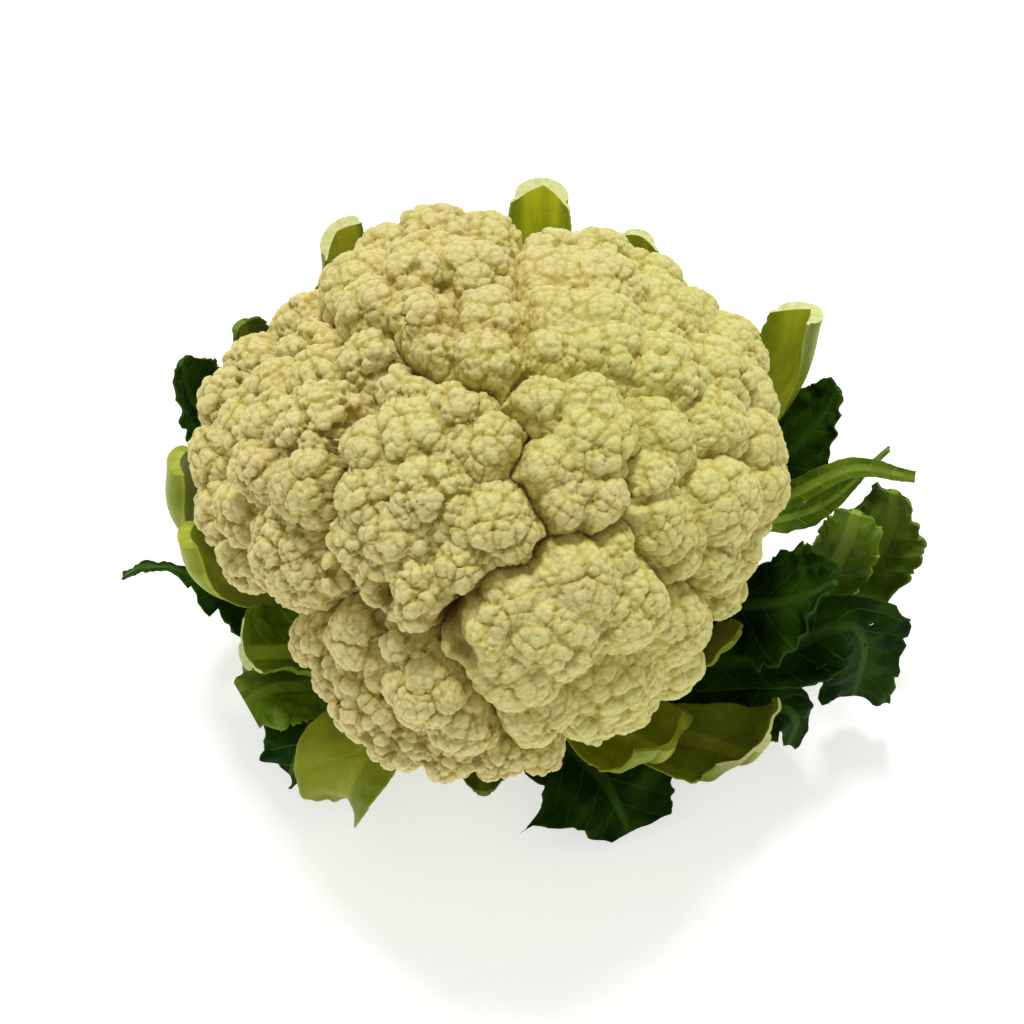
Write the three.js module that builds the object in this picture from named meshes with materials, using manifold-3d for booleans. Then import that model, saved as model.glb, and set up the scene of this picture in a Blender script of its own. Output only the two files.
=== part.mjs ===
// A cauliflower as bought: a domed curd of pressed florets on its cut stem, with trimmed leaves round it.
// Millimetres, +Z up. The origin is the middle of the stem's cut face, on which the head stands.
import * as THREE from "three";
import { mergeVertices } from "three/addons/utils/BufferGeometryUtils.js";
import Module from "manifold-3d";

const wasm = await Module();
wasm.setup();

const DEG = Math.PI / 180;

// The dome that the florets fill, about its own centre on the stem's axis.
const DOME_HEIGHT = 82;
const DOME = { across: 84, deep: 85, rise: 70, drop: 52 };

// Florets are placed as they look from in front and above: the way to look, and how far off the eye is.
const LOOK_DOWN = 58 * DEG;
const EYE_DISTANCE = 800;

// The dome's outline as looked at, as a share of an even one, at even angles from the right over the top.
const SEEN_OUTLINE = [
  0.98, 0.98, 0.99, 0.93, 0.94, 0.88, 0.9, 0.96, 0.98, 0.89, 0.93, 0.98,
  0.99, 0.9, 0.76, 0.87, 0.93, 1.0, 0.97, 0.93, 0.86, 0.86, 0.85, 0.88,
];

// The florets of the seen side. Each has its middle in mm right of and above the middle of the dome as looked
// at, its size, how proud its middle stands, how far its rim sinks, how deep the groove round it is, and its
// lobes: middle, radius, own rise.
const FLORETS = [
  {
    // left
    at: [-56, 12], size: 38, proud: 2, sunk: 3, groove: 7,
    lobes: [
      [-49, 41, 14], [-65, 32, 10.5], [-33, 34, 10.5], [-48, 29, 9.5, -1], [-61, 27, 8.5], [-71, 24, 11],
      [-47, 14, 14.5], [-62, 18, 8.5], [-73, 10, 11.5], [-64, 6, 8.5], [-50, 2, 10.5], [-72, -4, 11],
      [-51, -15, 16], [-65, -14, 12.5], [-41, -19, 9.5, -1],
    ],
  },
  {
    // middle
    at: [-17, 0], size: 31, proud: 3, sunk: 3, groove: 7,
    lobes: [
      [-21, 27, 10.5], [-10, 21, 10.5], [-21, 11, 14], [-34, 10, 9.5], [-1, 10, 10.5], [-18, -2, 13.5],
      [-35, -2, 10.5], [1, -11, 12.5, 1], [-26, -12, 11.5], [-37, -14, 9.5], [-20, -27, 12], [-7, -22, 9],
      [-30, -24, 8.5],
    ],
  },
  {
    // right of the middle
    at: [22, 9], size: 22, proud: 2, sunk: 2, groove: 4,
    lobes: [[26, 10, 16], [13, 22, 9.5], [26, 22, 9.5], [13, 4, 9.5], [18, -5, 8.5], [29, -4, 9.5]],
  },
  {
    // big one in front
    at: [24, -43], size: 34, proud: 3, sunk: 3, groove: 6,
    lobes: [
      [20, -25, 14], [34, -15, 8], [35, -31, 12], [46, -34, 13.5], [27, -49, 17, -1], [47, -46, 10.5],
      [22, -60, 12], [34, -56, 10.5], [10, -60, 10], [3, -31, 11], [-3, -42, 10], [6, -49, 11],
    ],
  },
  {
    // low in front
    at: [-28, -62], size: 29, proud: 0, sunk: 3, groove: 8,
    lobes: [
      [-46, -40, 10.5], [-36, -39, 10, -3], [-21, -42, 9.5, -4], [-40, -51, 9.5], [-30, -56, 15],
      [-18, -55, 10], [-25, -66, 11], [-8, -62, 10], [-13, -70, 9.5], [1, -71, 8.5], [13, -69, 8.5],
    ],
  },
  {
    // right
    at: [58, -10], size: 25, proud: 1.5, sunk: 1.5, groove: 4,
    lobes: [
      [59, -2, 13.5], [63, -14, 11.5], [57, -19, 10.5], [60, -26, 9], [42, -9, 9.5], [44, 14, 12], [42, 3, 8],
    ],
  },
  {
    // crown, left
    at: [-20, 62], size: 30, proud: 1.5, sunk: 2, groove: 4,
    lobes: [
      [-20, 46, 9], [-7, 57, 12], [-22, 58, 9], [-33, 49, 9.5], [-17, 66, 13], [-37, 54, 12], [-28, 64, 10.5],
      [-4, 66, 11.5],
    ],
  },
  {
    // crown, middle
    at: [-5, 36], size: 19, proud: 2, sunk: 2, groove: 4,
    lobes: [[-2, 43, 12], [-3, 32, 11], [-18, 36, 7]],
  },
  {
    // crown, right, where the lobes press closest
    at: [42, 42], size: 46, proud: 0.8, sunk: 1, groove: 2,
    lobes: [
      [29, 35, 13.5], [15, 34, 10.5], [15, 61, 12], [28, 62, 11], [13, 56, 11], [29, 53, 13], [40, 55, 12],
      [29, 43, 11.5], [15, 45, 10.5], [44, 45, 14], [52, 46, 10.5], [63, 37, 11.5], [45, 29, 13],
      [59, 29, 12.5], [67, 24, 10.5], [57, 15, 13], [67, 12, 12], [70, 1, 10.5], [68, -8, 9],
    ],
  },
];

// The rest of the dome is filled by rule: florets and lobes spread evenly, wherever no other is near.
const FILL_FLORETS = { points: 26, size: 24, groove: 4, apart: 34 };
const FILL_LOBES = { points: 150, radius: 12.5, spread: 3, lift: -1.5, apart: 13, lowest: -0.74 };
const GOLDEN_ANGLE = Math.PI * (3 - Math.sqrt(5));
const CORE_INSET = 14;
const GROOVE_WIDTH = 7;
const CURD_FACES_PER_EDGE = 19;
const CURD_FINER_TOWARDS = new THREE.Vector3(0, -0.08, 0.18);

// The stem's outline from its cut face up into the curd: radius, height.
const STEM_OUTLINE = [
  [19.5, 0], [21.5, 2], [22, 12], [22.5, 24], [25, 33], [31, 38], [37, 43], [42, 52], [30, 62],
];
const STEM_SIDES = 28;
const STEM_RIDGES = { count: 9, depth: 0.07, from: 26 };
const GAP = 0.4;

// Leaves. Each starts inside the stem at the angle root and ends at the angle at. It has a spine of [radius,
// height], the half widths to its left and right at even steps along it, the midrib's half width and
// thickness at base and tip, cup (how far the blade bends towards the head, degrees at its edge), twist at
// base and tip, along its edges a wave (mm, number) and notches (share of the width, number), the depth of
// the channel in its inner face towards the tip, and how far the cut at the tip slants.
const BLADE_THICKNESS = 0.9;
const LEAF_CLEARANCE = 2.2;
const PALE = 0x9da63c;
const GREEN = 0x55782a;
const DARK = 0x1c4a16;

const INNER = 28;
const MIDDLE = 19.5;
const OUTER = 11;

const LEAVES = [
  {
    name: "leaf_back_stub", root: 80, at: 82, colour: PALE,
    spine: [[14, MIDDLE], [45, 23], [74, 42], [91, 69], [93, 96]],
    left: [6, 10, 11, 11, 9.5], right: [6, 10, 11, 11, 9.5], rib: [6, 7], thick: [6, 7], cup: 50,
    groove: 4, steps: 8,
  },
  {
    name: "leaf_back_right_low", root: 60, at: 63, colour: PALE,
    spine: [[14, INNER], [48, 33], [76, 56], [89, 76], [90, 92]],
    left: [6, 8, 11, 11, 7], right: [6, 8, 11, 10, 6], rib: [6, 4], thick: [5.5, 3], cup: 40,
    wave: [0.8, 2], steps: 7,
  },
  {
    name: "leaf_back_left_stub", root: 125, at: 119, colour: PALE,
    spine: [[14, MIDDLE], [46, 24], [74, 44], [89, 68], [92, 92]],
    left: [6, 9, 9, 8, 6.5], right: [6, 9, 14, 16, 7], rib: [6, 6], thick: [6, 6], cup: 35,
    wave: [0.8, 2], groove: 2.5, slant: -4, steps: 7,
  },
  {
    name: "leaf_left_dark", root: 155, at: 159, colour: DARK,
    spine: [[14, INNER], [48, 34], [76, 55], [91, 78], [93, 96]],
    left: [6, 8, 12, 14, 3], right: [6, 8, 11, 11.5, 3], rib: [6, 1.5], thick: [5.5, 1.5], cup: 20,
    wave: [1.2, 2.5], steps: 8,
  },
  {
    name: "leaf_left_pale", root: 165, at: 172, colour: PALE,
    spine: [[14, OUTER], [48, 15], [78, 33], [89, 56], [88, 79]],
    left: [5, 8, 9, 10, 5], right: [5, 8, 10, 10.5, 5], rib: [5, 8], thick: [6, 4.5], cup: 40, steps: 8,
  },
  {
    name: "leaf_left_low", root: 178, at: 186, colour: PALE,
    spine: [[14, MIDDLE], [46, 23], [71, 42], [82, 58], [84, 74]],
    left: [6, 8, 9, 9, 4.5], right: [6, 8, 9, 9, 4.5], rib: [6, 7], thick: [5.5, 4.5], cup: 40, steps: 8,
  },
  {
    name: "leaf_left_tendril", root: 193, at: 182, colour: DARK,
    spine: [[14, OUTER], [46, 14], [67, 28], [81, 41], [92, 47], [101, 48], [107, 43]],
    left: [4, 4, 5, 4, 1.4, 1.6, 1.2], right: [4, 4.5, 12, 9, 1.4, 1.6, 1.2], rib: [4, 1],
    thick: [4, 1.2], cup: 20, wave: [0.6, 3], steps: 13,
  },
  {
    name: "leaf_front_left_curl", root: 201, at: 206, colour: GREEN,
    spine: [[14, INNER], [42, 31], [58, 38], [70, 47], [77, 51]],
    left: [5, 8, 13, 16, 10], right: [5, 8, 13, 15, 10], rib: [5, 4], thick: [5, 4], cup: 60,
    wave: [2.4, 2.5], notch: [0.12, 3], steps: 10,
  },
  {
    name: "leaf_front_left_lobe", root: 215, at: 209, colour: GREEN,
    spine: [[14, MIDDLE], [42, 21], [60, 27], [73, 34], [81, 33]],
    left: [5, 7, 12, 16, 10], right: [5, 7, 11, 13, 9], rib: [5, 2], thick: [5, 1.8], cup: -60,
    wave: [0.8, 1.5], steps: 10,
  },
  {
    name: "leaf_front_left_folded", root: 222, at: 219, colour: DARK,
    spine: [[14, OUTER], [40, 12], [58, 15], [71, 15], [77, 6]],
    left: [5, 8, 14, 15, 9], right: [5, 8, 9, 7, 5], rib: [5, 1.5], thick: [5, 1.5], cup: 60,
    wave: [2, 3], notch: [0.12, 3], steps: 11,
  },
  {
    name: "leaf_front_curl", root: 236, at: 234, colour: PALE,
    spine: [[14, INNER], [40, 28], [57, 29], [68, 26], [74, 16], [70, 6]],
    left: [6, 8, 14, 17, 13, 5], right: [6, 8, 12, 14, 11, 5], rib: [6, 3], thick: [5, 3], cup: 85,
    wave: [1.2, 2], steps: 12,
  },
  {
    name: "leaf_front_low", root: 262, at: 267, colour: GREEN,
    spine: [[14, MIDDLE], [38, 21], [54, 25], [66, 31]],
    left: [6, 8, 11, 3], right: [6, 8, 11, 3], rib: [6, 2], thick: [5.5, 2], cup: 20,
    wave: [0.8, 2], steps: 7,
  },
  {
    name: "leaf_front_dark", root: 292, at: 300, colour: DARK,
    spine: [[14, OUTER], [38, 12], [53, 13], [66, 11], [76, 4]],
    left: [6, 10, 24, 26, 6], right: [6, 10, 20, 31, 12], rib: [6, 1.5], thick: [5, 1.5], cup: 5,
    wave: [1.8, 3], notch: [0.34, 3], steps: 12,
  },
  {
    name: "leaf_front_right_curl", root: 300, at: 309, colour: PALE,
    spine: [[14, INNER], [40, 29], [58, 28], [71, 34], [75, 46]],
    left: [5, 9, 15, 17, 10], right: [5, 9, 14, 15, 9], rib: [5, 3], thick: [5, 2.5], cup: 40,
    wave: [1.4, 2], steps: 10,
  },
  {
    name: "leaf_front_right_lobe", root: 307, at: 324, colour: PALE,
    spine: [[14, MIDDLE], [42, 20], [68, 20], [85, 23], [91, 37]],
    left: [5, 8, 14, 17, 14], right: [5, 7, 10, 15, 13], rib: [5, 3], thick: [5.5, 2.5], cup: 45,
    wave: [1, 1.5], slant: 4, steps: 10,
  },
  {
    name: "leaf_right_low", root: 322, at: 336, colour: DARK,
    spine: [[14, OUTER], [44, 10], [68, 13], [87, 24], [94, 20], [93, 4]],
    left: [5, 8, 12, 10, 6, 1.6], right: [5, 8, 10, 9, 6, 1.6], rib: [5, 1.2], thick: [5, 1.5], cup: 8,
    wave: [1.6, 3], notch: [0.2, 3], twist: [0, 60], steps: 11,
  },
  {
    name: "leaf_right_ragged", root: 335, at: 346, colour: DARK,
    spine: [[14, MIDDLE], [46, 20], [78, 32], [99, 51], [107, 42], [107, 12]],
    left: [5, 7, 11, 14, 15, 10], right: [5, 6, 9, 12, 14, 10], rib: [5, 1.2], thick: [5.5, 1.5], cup: 8,
    wave: [1.8, 3], notch: [0.22, 4], twist: [0, 75], steps: 13,
  },
  {
    name: "leaf_right_dark", root: 353, at: 347, colour: DARK,
    spine: [[14, INNER], [46, 33], [72, 46], [88, 60], [95, 70]],
    left: [5, 9, 20, 22, 6], right: [5, 9, 16, 17, 5], rib: [5, 1.5], thick: [5, 1.5], cup: 8,
    wave: [1.6, 2.5], notch: [0.2, 3], steps: 11,
  },
  {
    name: "leaf_right_rib", root: 3, at: 360, colour: GREEN,
    spine: [[14, MIDDLE], [50, 19], [82, 24], [95, 39], [99, 55], [100, 70]],
    left: [5, 8, 9, 10, 10, 5.5], right: [3.5, 6, 9, 9, 9, 5.5], rib: [5, 2.5], thick: [5.5, 2], cup: -30,
    wave: [1, 2], twist: [0, 70], steps: 12,
  },
  {
    name: "leaf_right_lobe", root: 352, at: 6, colour: GREEN,
    spine: [[14, OUTER], [52, 10], [90, 14], [110, 29], [114, 46], [113, 62]],
    left: [5, 7, 10, 12, 12, 6], right: [5, 7, 10, 11, 11, 6], rib: [5, 2], thick: [5, 1.8], cup: 15,
    wave: [1.6, 2.5], twist: [0, 60], steps: 11,
  },
  {
    name: "leaf_right_strip", root: 21, at: 7, colour: GREEN,
    spine: [[14, INNER], [48, 34], [76, 54], [98, 75], [119, 67]],
    left: [4, 5, 4, 3, 1.6], right: [4, 5, 4, 3, 1.6], rib: [4, 1], thick: [4.5, 1.4], cup: 20,
    twist: [0, 35], steps: 10,
  },
  {
    name: "leaf_right_spear", root: 19, at: 11, colour: GREEN,
    spine: [[14, MIDDLE], [44, 25], [70, 35], [89, 42], [101, 52], [112, 71]],
    left: [2, 2.8, 3.5, 5, 3, 1.2], right: [2, 2.8, 3, 4, 3, 1.2], rib: [3, 1], thick: [4, 1.4],
    cup: -20, wave: [1.2, 2.5], steps: 11,
  },
  {
    name: "leaf_right_shade", root: 30, at: 24, colour: DARK,
    spine: [[14, OUTER], [50, 14], [82, 32], [100, 52], [107, 68]],
    left: [5, 6.5, 11, 15, 5], right: [5, 8, 12, 15, 5], rib: [5, 1.5], thick: [5, 1.5], cup: 15,
    wave: [1.6, 2.5], notch: [0.2, 3], steps: 10,
  },
  {
    name: "leaf_right_stub", root: 38, at: 30, colour: PALE,
    spine: [[14, MIDDLE], [48, 24], [79, 46], [94, 72], [97, 98]],
    left: [4, 7, 10, 9, 8.5], right: [6, 10, 14, 12, 8.5], rib: [6, 7], thick: [6, 7], cup: 45,
    groove: 4.5, slant: -6, steps: 9,
  },
  {
    name: "leaf_right_inner", root: 327, at: 331, colour: PALE,
    spine: [[14, INNER], [42, 33], [60, 44], [71, 58], [75, 68]],
    left: [4, 5, 9, 10, 3], right: [4, 5, 8, 8, 3], rib: [4, 1.5], thick: [5, 1.5], cup: 20, steps: 6,
  },
  {
    name: "leaf_back_right_stub", root: 65, at: 52, colour: PALE,
    spine: [[14, OUTER], [48, 15], [78, 32], [90, 52], [93, 66]],
    left: [5, 9, 10, 9, 8], right: [5, 9, 10, 9, 8], rib: [5, 6], thick: [6, 6], cup: 35,
    groove: 2, steps: 7,
  },
  {
    name: "leaf_back_middle_stub", root: 98, at: 101, colour: PALE,
    spine: [[14, OUTER], [48, 15], [80, 34], [94, 56], [96, 72]],
    left: [6, 9, 11, 10, 8], right: [6, 9, 11, 10, 8], rib: [6, 6], thick: [6, 6], cup: 35,
    groove: 2, steps: 7,
  },
  {
    name: "leaf_back_left_low", root: 133, at: 140, colour: GREEN,
    spine: [[14, OUTER], [48, 15], [80, 34], [93, 56], [96, 74]],
    left: [5, 9, 12, 13, 6], right: [5, 9, 12, 13, 6], rib: [5, 3], thick: [6, 2.5], cup: 30,
    wave: [1, 2], steps: 7,
  },
];

// How far a point is out on the dome drawn in by inset: 1 on it, less inside. Points are from its centre.
function domeLevel(x, y, z, inset = 0) {
  const high = z < 0 ? DOME.drop : DOME.rise;
  const even = Math.hypot(x / (DOME.across - inset), y / (DOME.deep - inset), z / (high - inset));
  const up = y * Math.sin(LOOK_DOWN) + z * Math.cos(LOOK_DOWN);
  const aside = (x * x + up * up) / (x * x + y * y + z * z);
  const at = ((Math.atan2(up, x) / (2 * Math.PI) + 1) % 1) * SEEN_OUTLINE.length;
  const before = SEEN_OUTLINE[Math.floor(at)];
  const after = SEEN_OUTLINE[Math.ceil(at) % SEEN_OUTLINE.length];
  return even / (1 + (THREE.MathUtils.lerp(before, after, at % 1) - 1) * aside);
}

// The point where a line of sight through (right, up) meets the dome drawn in by inset, or passes nearest.
function seenOnDome(right, up, inset) {
  const back = new THREE.Vector3(0, -Math.cos(LOOK_DOWN), Math.sin(LOOK_DOWN));
  const eye = back.clone().multiplyScalar(EYE_DISTANCE);
  const upward = new THREE.Vector3(0, Math.sin(LOOK_DOWN), Math.cos(LOOK_DOWN));
  const sight = upward.multiplyScalar(up).setX(right).sub(eye).normalize();
  const point = (t) => sight.clone().multiplyScalar(t).add(eye);
  const level = (t) => domeLevel(...point(t), inset);
  let [near, far] = [EYE_DISTANCE - 150, EYE_DISTANCE + 150];
  for (let i = 0; i < 60; i++) {
    const third = (far - near) / 3;
    if (level(near + third) < level(far - third)) far -= third;
    else near += third;
  }
  let [outside, inside] = [EYE_DISTANCE - 150, near];
  if (level(inside) >= 1) return point(inside);
  for (let i = 0; i < 40; i++) {
    const middle = (outside + inside) / 2;
    if (level(middle) > 1) outside = middle;
    else inside = middle;
  }
  return point(inside);
}

// The middles of evenly spread points on the dome drawn in by inset(i).
function spread(points, inset) {
  return Array.from({ length: points }, (_, i) => {
    const z = 1 - (2 * i + 1) / points;
    const flat = Math.sqrt(1 - z * z);
    const way = new THREE.Vector3(flat * Math.cos(i * GOLDEN_ANGLE), flat * Math.sin(i * GOLDEN_ANGLE), z);
    return way.divideScalar(domeLevel(way.x, way.y, way.z, inset(i)));
  });
}

// All florets as { centre, size, groove }, the seen ones and then those that the rule adds.
function florets() {
  const made = FLORETS.map(({ at, size, groove }) => ({ centre: seenOnDome(...at, 0), size, groove }));
  for (const centre of spread(FILL_FLORETS.points, () => 0)) {
    const near = made.some((floret) => floret.centre.distanceTo(centre) < FILL_FLORETS.apart);
    if (!near) made.push({ centre, size: FILL_FLORETS.size, groove: FILL_FLORETS.groove });
  }
  return made;
}

// All lobes as { centre, radius }, the seen ones and then those that the rule adds.
function lobes() {
  const made = FLORETS.flatMap((floret) =>
    floret.lobes.map(([right, up, radius, own = 0]) => {
      const out = Math.hypot(right - floret.at[0], up - floret.at[1]) / floret.size;
      return { centre: seenOnDome(right, up, radius - own - floret.proud + floret.sunk * out * out), radius };
    }),
  );
  const radius = (i) => FILL_LOBES.radius + FILL_LOBES.spread * Math.sin(i * 7.3);
  spread(FILL_LOBES.points, (i) => radius(i) - FILL_LOBES.lift).forEach((centre, i) => {
    const low = 1 - (2 * i + 1) / FILL_LOBES.points < FILL_LOBES.lowest;
    const near = made.some((lobe) => lobe.centre.distanceTo(centre) < FILL_LOBES.apart);
    if (!low && !near) made.push({ centre, radius: radius(i) });
  });
  return made;
}

// How deep the grooves between florets are at a point on the dome.
function grooveAt(point, all) {
  const near = all
    .map(({ centre, size, groove }) => ({ off: point.distanceTo(centre) - size, groove }))
    .sort((a, b) => a.off - b.off);
  const share = Math.max(0, 1 - (near[1].off - near[0].off) / GROOVE_WIDTH);
  return ((near[0].groove + near[1].groove) / 2) * share * share;
}

// The curd: a ball of even triangles, each corner moved out to the furthest lobe, or to the core, on its way.
function curdGeometry() {
  const allFlorets = florets();
  const allLobes = lobes();
  const ball = new THREE.IcosahedronGeometry(1, CURD_FACES_PER_EDGE - 1);
  ball.deleteAttribute("normal");
  ball.deleteAttribute("uv");
  const curd = mergeVertices(ball, 1e-4);
  const place = curd.getAttribute("position");
  const way = new THREE.Vector3();
  for (let i = 0; i < place.count; i++) {
    way.fromBufferAttribute(place, i).normalize().add(CURD_FINER_TOWARDS).normalize();
    const dome = 1 / domeLevel(way.x, way.y, way.z);
    let reach = 1 / domeLevel(way.x, way.y, way.z, CORE_INSET);
    for (const { centre, radius } of allLobes) {
      const along = way.dot(centre);
      const inside = along * along - centre.lengthSq() + radius * radius;
      if (inside > 0) reach = Math.max(reach, along + Math.sqrt(inside));
    }
    reach -= grooveAt(way.clone().multiplyScalar(dome), allFlorets);
    place.setXYZ(i, way.x * reach, way.y * reach, way.z * reach);
  }
  return curd;
}

// The stem, a lathed outline with low ridges where its branches start. Grown by extra all over.
function stemGeometry(extra = 0) {
  const outline = STEM_OUTLINE.map(([r, z]) => new THREE.Vector2(r + extra, z));
  const bottom = new THREE.Vector2(0, STEM_OUTLINE[0][1]);
  const top = new THREE.Vector2(0, STEM_OUTLINE.at(-1)[1]);
  const stem = new THREE.LatheGeometry([bottom, ...outline, top], STEM_SIDES);
  stem.rotateX(Math.PI / 2);
  const place = stem.getAttribute("position");
  for (let i = 0; i < place.count; i++) {
    const [x, y, z] = [place.getX(i), place.getY(i), place.getZ(i)];
    const above = THREE.MathUtils.clamp((z - STEM_RIDGES.from) / 12, 0, 1);
    const swell = 1 + STEM_RIDGES.depth * above * Math.cos(STEM_RIDGES.count * Math.atan2(y, x));
    place.setXYZ(i, x * swell, y * swell, z);
  }
  return stem;
}

// A value at share t along a list of evenly spaced ones, on a Catmull-Rom spline.
function along(values, t) {
  const last = values.length - 1;
  const at = Math.min(t * last, last - 1e-9);
  const i = Math.floor(at);
  const f = at - i;
  const [b, c] = [values[i], values[i + 1]];
  const a = i > 0 ? values[i - 1] : 2 * b - c;
  const d = i + 2 <= last ? values[i + 2] : 2 * c - b;
  return b + 0.5 * f * (c - a + f * (2 * a - 5 * b + 4 * c - d + f * (3 * (b - c) + d - a)));
}

function spinePoint(leaf, t) {
  const radius = along(leaf.spine.map((p) => p[0]), t);
  const height = along(leaf.spine.map((p) => p[1]), t);
  const swing = ((leaf.at - leaf.root + 540) % 360) - 180;
  const angle = (leaf.root + swing * THREE.MathUtils.smoothstep(t, 0, 0.7)) * DEG;
  return new THREE.Vector3(radius * Math.cos(angle), radius * Math.sin(angle), height);
}

// Moves a point of a blade out until it clears the dome, and up until it clears the ground.
function clear(point, least) {
  const z = point.z - DOME_HEIGHT;
  const level = domeLevel(point.x, point.y, z, -LEAF_CLEARANCE);
  if (level < 1) point.set(point.x / level, point.y / level, DOME_HEIGHT + z / level);
  point.z = Math.max(point.z, least);
  return point;
}

// A leaf: an inner and an outer sheet over one grid, joined at the edges and ends, with the midrib's
// thickness on the outer side.
function leafGeometry(leaf) {
  const [wave, waves] = leaf.wave ?? [0, 1];
  const [notch, notches] = leaf.notch ?? [0, 1];
  const [twistBase, twistTip] = leaf.twist ?? [0, 0];
  const inner = [];
  const outer = [];
  let columns = 0;
  for (let i = 0; i <= leaf.steps; i++) {
    const t = i / leaf.steps;
    const middle = spinePoint(leaf, t);
    const before = spinePoint(leaf, Math.max(t - 0.01, 0));
    const ahead = spinePoint(leaf, Math.min(t + 0.01, 1)).sub(before).normalize();
    const round = new THREE.Vector3(-middle.y, middle.x, 0).normalize();
    const face = new THREE.Vector3().crossVectors(ahead, round).normalize();
    const side = new THREE.Vector3().crossVectors(face, ahead).normalize();
    const twist = THREE.MathUtils.lerp(twistBase, twistTip, t) * DEG;
    face.applyAxisAngle(ahead, twist);
    side.applyAxisAngle(ahead, twist);
    const rib = THREE.MathUtils.lerp(leaf.rib[0], leaf.rib[1], t);
    const thick = THREE.MathUtils.lerp(leaf.thick[0], leaf.thick[1], t);
    const cut = 1 - notch * (0.5 - 0.5 * Math.cos(2 * Math.PI * notches * t));
    const sides = [-1, 1].map((hand) => {
      const width = Math.max(along(hand < 0 ? leaf.left : leaf.right, t) * cut, 1.2);
      const edge = Math.min(rib, width * 0.9);
      return [0, edge * 0.7, edge, width].map((a) => [hand * a, width, edge]);
    });
    const row = [...sides[0].reverse(), ...sides[1].slice(1)];
    columns = row.length;
    for (const [across, width, edge] of row) {
      const share = Math.abs(across) / width;
      const bend = (leaf.cup ?? 0) * DEG * t * (across / Math.max(width, 6));
      const arm = Math.abs(bend) < 1e-6 ? across : (across * Math.sin(bend)) / bend;
      const rise = Math.abs(bend) < 1e-6 ? 0 : (across * (1 - Math.cos(bend))) / bend;
      const ripple = wave * t * share * share * Math.sin(2 * Math.PI * waves * t + (across < 0 ? 0 : 2));
      const channel = (leaf.groove ?? 0) * t * Math.max(0, 1 - Math.abs(across) / edge);
      const lean = ((leaf.slant ?? 0) * t ** 3 * across) / width;
      const point = middle.clone().addScaledVector(side, arm).addScaledVector(ahead, lean);
      point.addScaledVector(face, rise + ripple - channel);
      const normal = face.clone().multiplyScalar(Math.cos(bend)).addScaledVector(side, -Math.sin(bend));
      const ribShare = Math.max(0, 1 - (across / edge) ** 2);
      const whole = BLADE_THICKNESS + (thick - BLADE_THICKNESS) * Math.sqrt(ribShare);
      const depth = Math.max(BLADE_THICKNESS, whole - channel);
      clear(point, 0.6 + depth);
      inner.push(point.clone());
      outer.push(clear(point.addScaledVector(normal, -depth), 0.6));
    }
  }
  return sheetGeometry(inner, outer, leaf.steps, columns - 1);
}

// The closed mesh between two sheets of (rows + 1) x (columns + 1) points, split alike on both faces.
function sheetGeometry(inner, outer, rows, columns) {
  const wide = columns + 1;
  const faces = [];
  const quad = (a, b, c, d) => faces.push(a, b, c, a, c, d);
  const under = inner.length;
  for (let i = 0; i < rows; i++) {
    for (let j = 0; j < columns; j++) {
      const a = i * wide + j;
      const b = under + a;
      quad(a, a + wide, a + wide + 1, a + 1);
      faces.push(b, b + 1, b + wide + 1, b, b + wide + 1, b + wide);
    }
    const [left, right] = [i * wide, i * wide + columns];
    quad(left, under + left, under + left + wide, left + wide);
    quad(right + wide, under + right + wide, under + right, right);
  }
  for (let j = 0; j < columns; j++) {
    const far = rows * wide + j;
    quad(j + 1, under + j + 1, under + j, j);
    quad(far, under + far, under + far + 1, far + 1);
  }
  const sheet = new THREE.BufferGeometry().setFromPoints([...inner, ...outer]);
  return sheet.setIndex(faces);
}

function solid(geometry) {
  const bare = new THREE.BufferGeometry().setAttribute("position", geometry.getAttribute("position"));
  bare.setIndex(geometry.index);
  const merged = mergeVertices(bare, 1e-3);
  const vertProperties = new Float32Array(merged.getAttribute("position").array);
  const triVerts = new Uint32Array(merged.index.array);
  return new wasm.Manifold(new wasm.Mesh({ numProp: 3, vertProperties, triVerts }));
}

// The largest body of a cut solid, as a geometry: loose scraps are dropped.
function largest(cut) {
  const [body] = cut.decompose().sort((a, b) => b.volume() - a.volume());
  const mesh = body.getMesh();
  const geometry = new THREE.BufferGeometry();
  geometry.setAttribute("position", new THREE.BufferAttribute(new Float32Array(mesh.vertProperties), 3));
  return geometry.setIndex(new THREE.BufferAttribute(new Uint32Array(mesh.triVerts), 1));
}

function mesh(name, geometry, color, roughness) {
  const made = new THREE.Mesh(geometry, new THREE.MeshStandardMaterial({ color, roughness, metalness: 0 }));
  made.name = name;
  return made;
}

const cauliflower = new THREE.Group();

const curd = curdGeometry();
const grown = curd.clone().scale(1.03, 1.03, 1.03).translate(0, 0, DOME_HEIGHT);
curd.translate(0, 0, DOME_HEIGHT);
cauliflower.add(mesh("curd", curd, 0xcfc48a, 0.75));

const stem = solid(stemGeometry()).subtract(solid(grown));
cauliflower.add(mesh("stem", largest(stem), 0xc9d09a, 0.6));

const stemRoom = solid(stemGeometry(GAP));
for (const leaf of LEAVES) {
  const cut = solid(leafGeometry(leaf)).subtract(stemRoom);
  cauliflower.add(mesh(leaf.name, largest(cut), leaf.colour, 0.55));
}

export default cauliflower;
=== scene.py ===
"""A head of cauliflower: a domed curd of pressed florets on its stem, with trimmed leaves round it."""
import functools
import math

import bpy
import numpy as np
from mathutils import Matrix, kdtree


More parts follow.
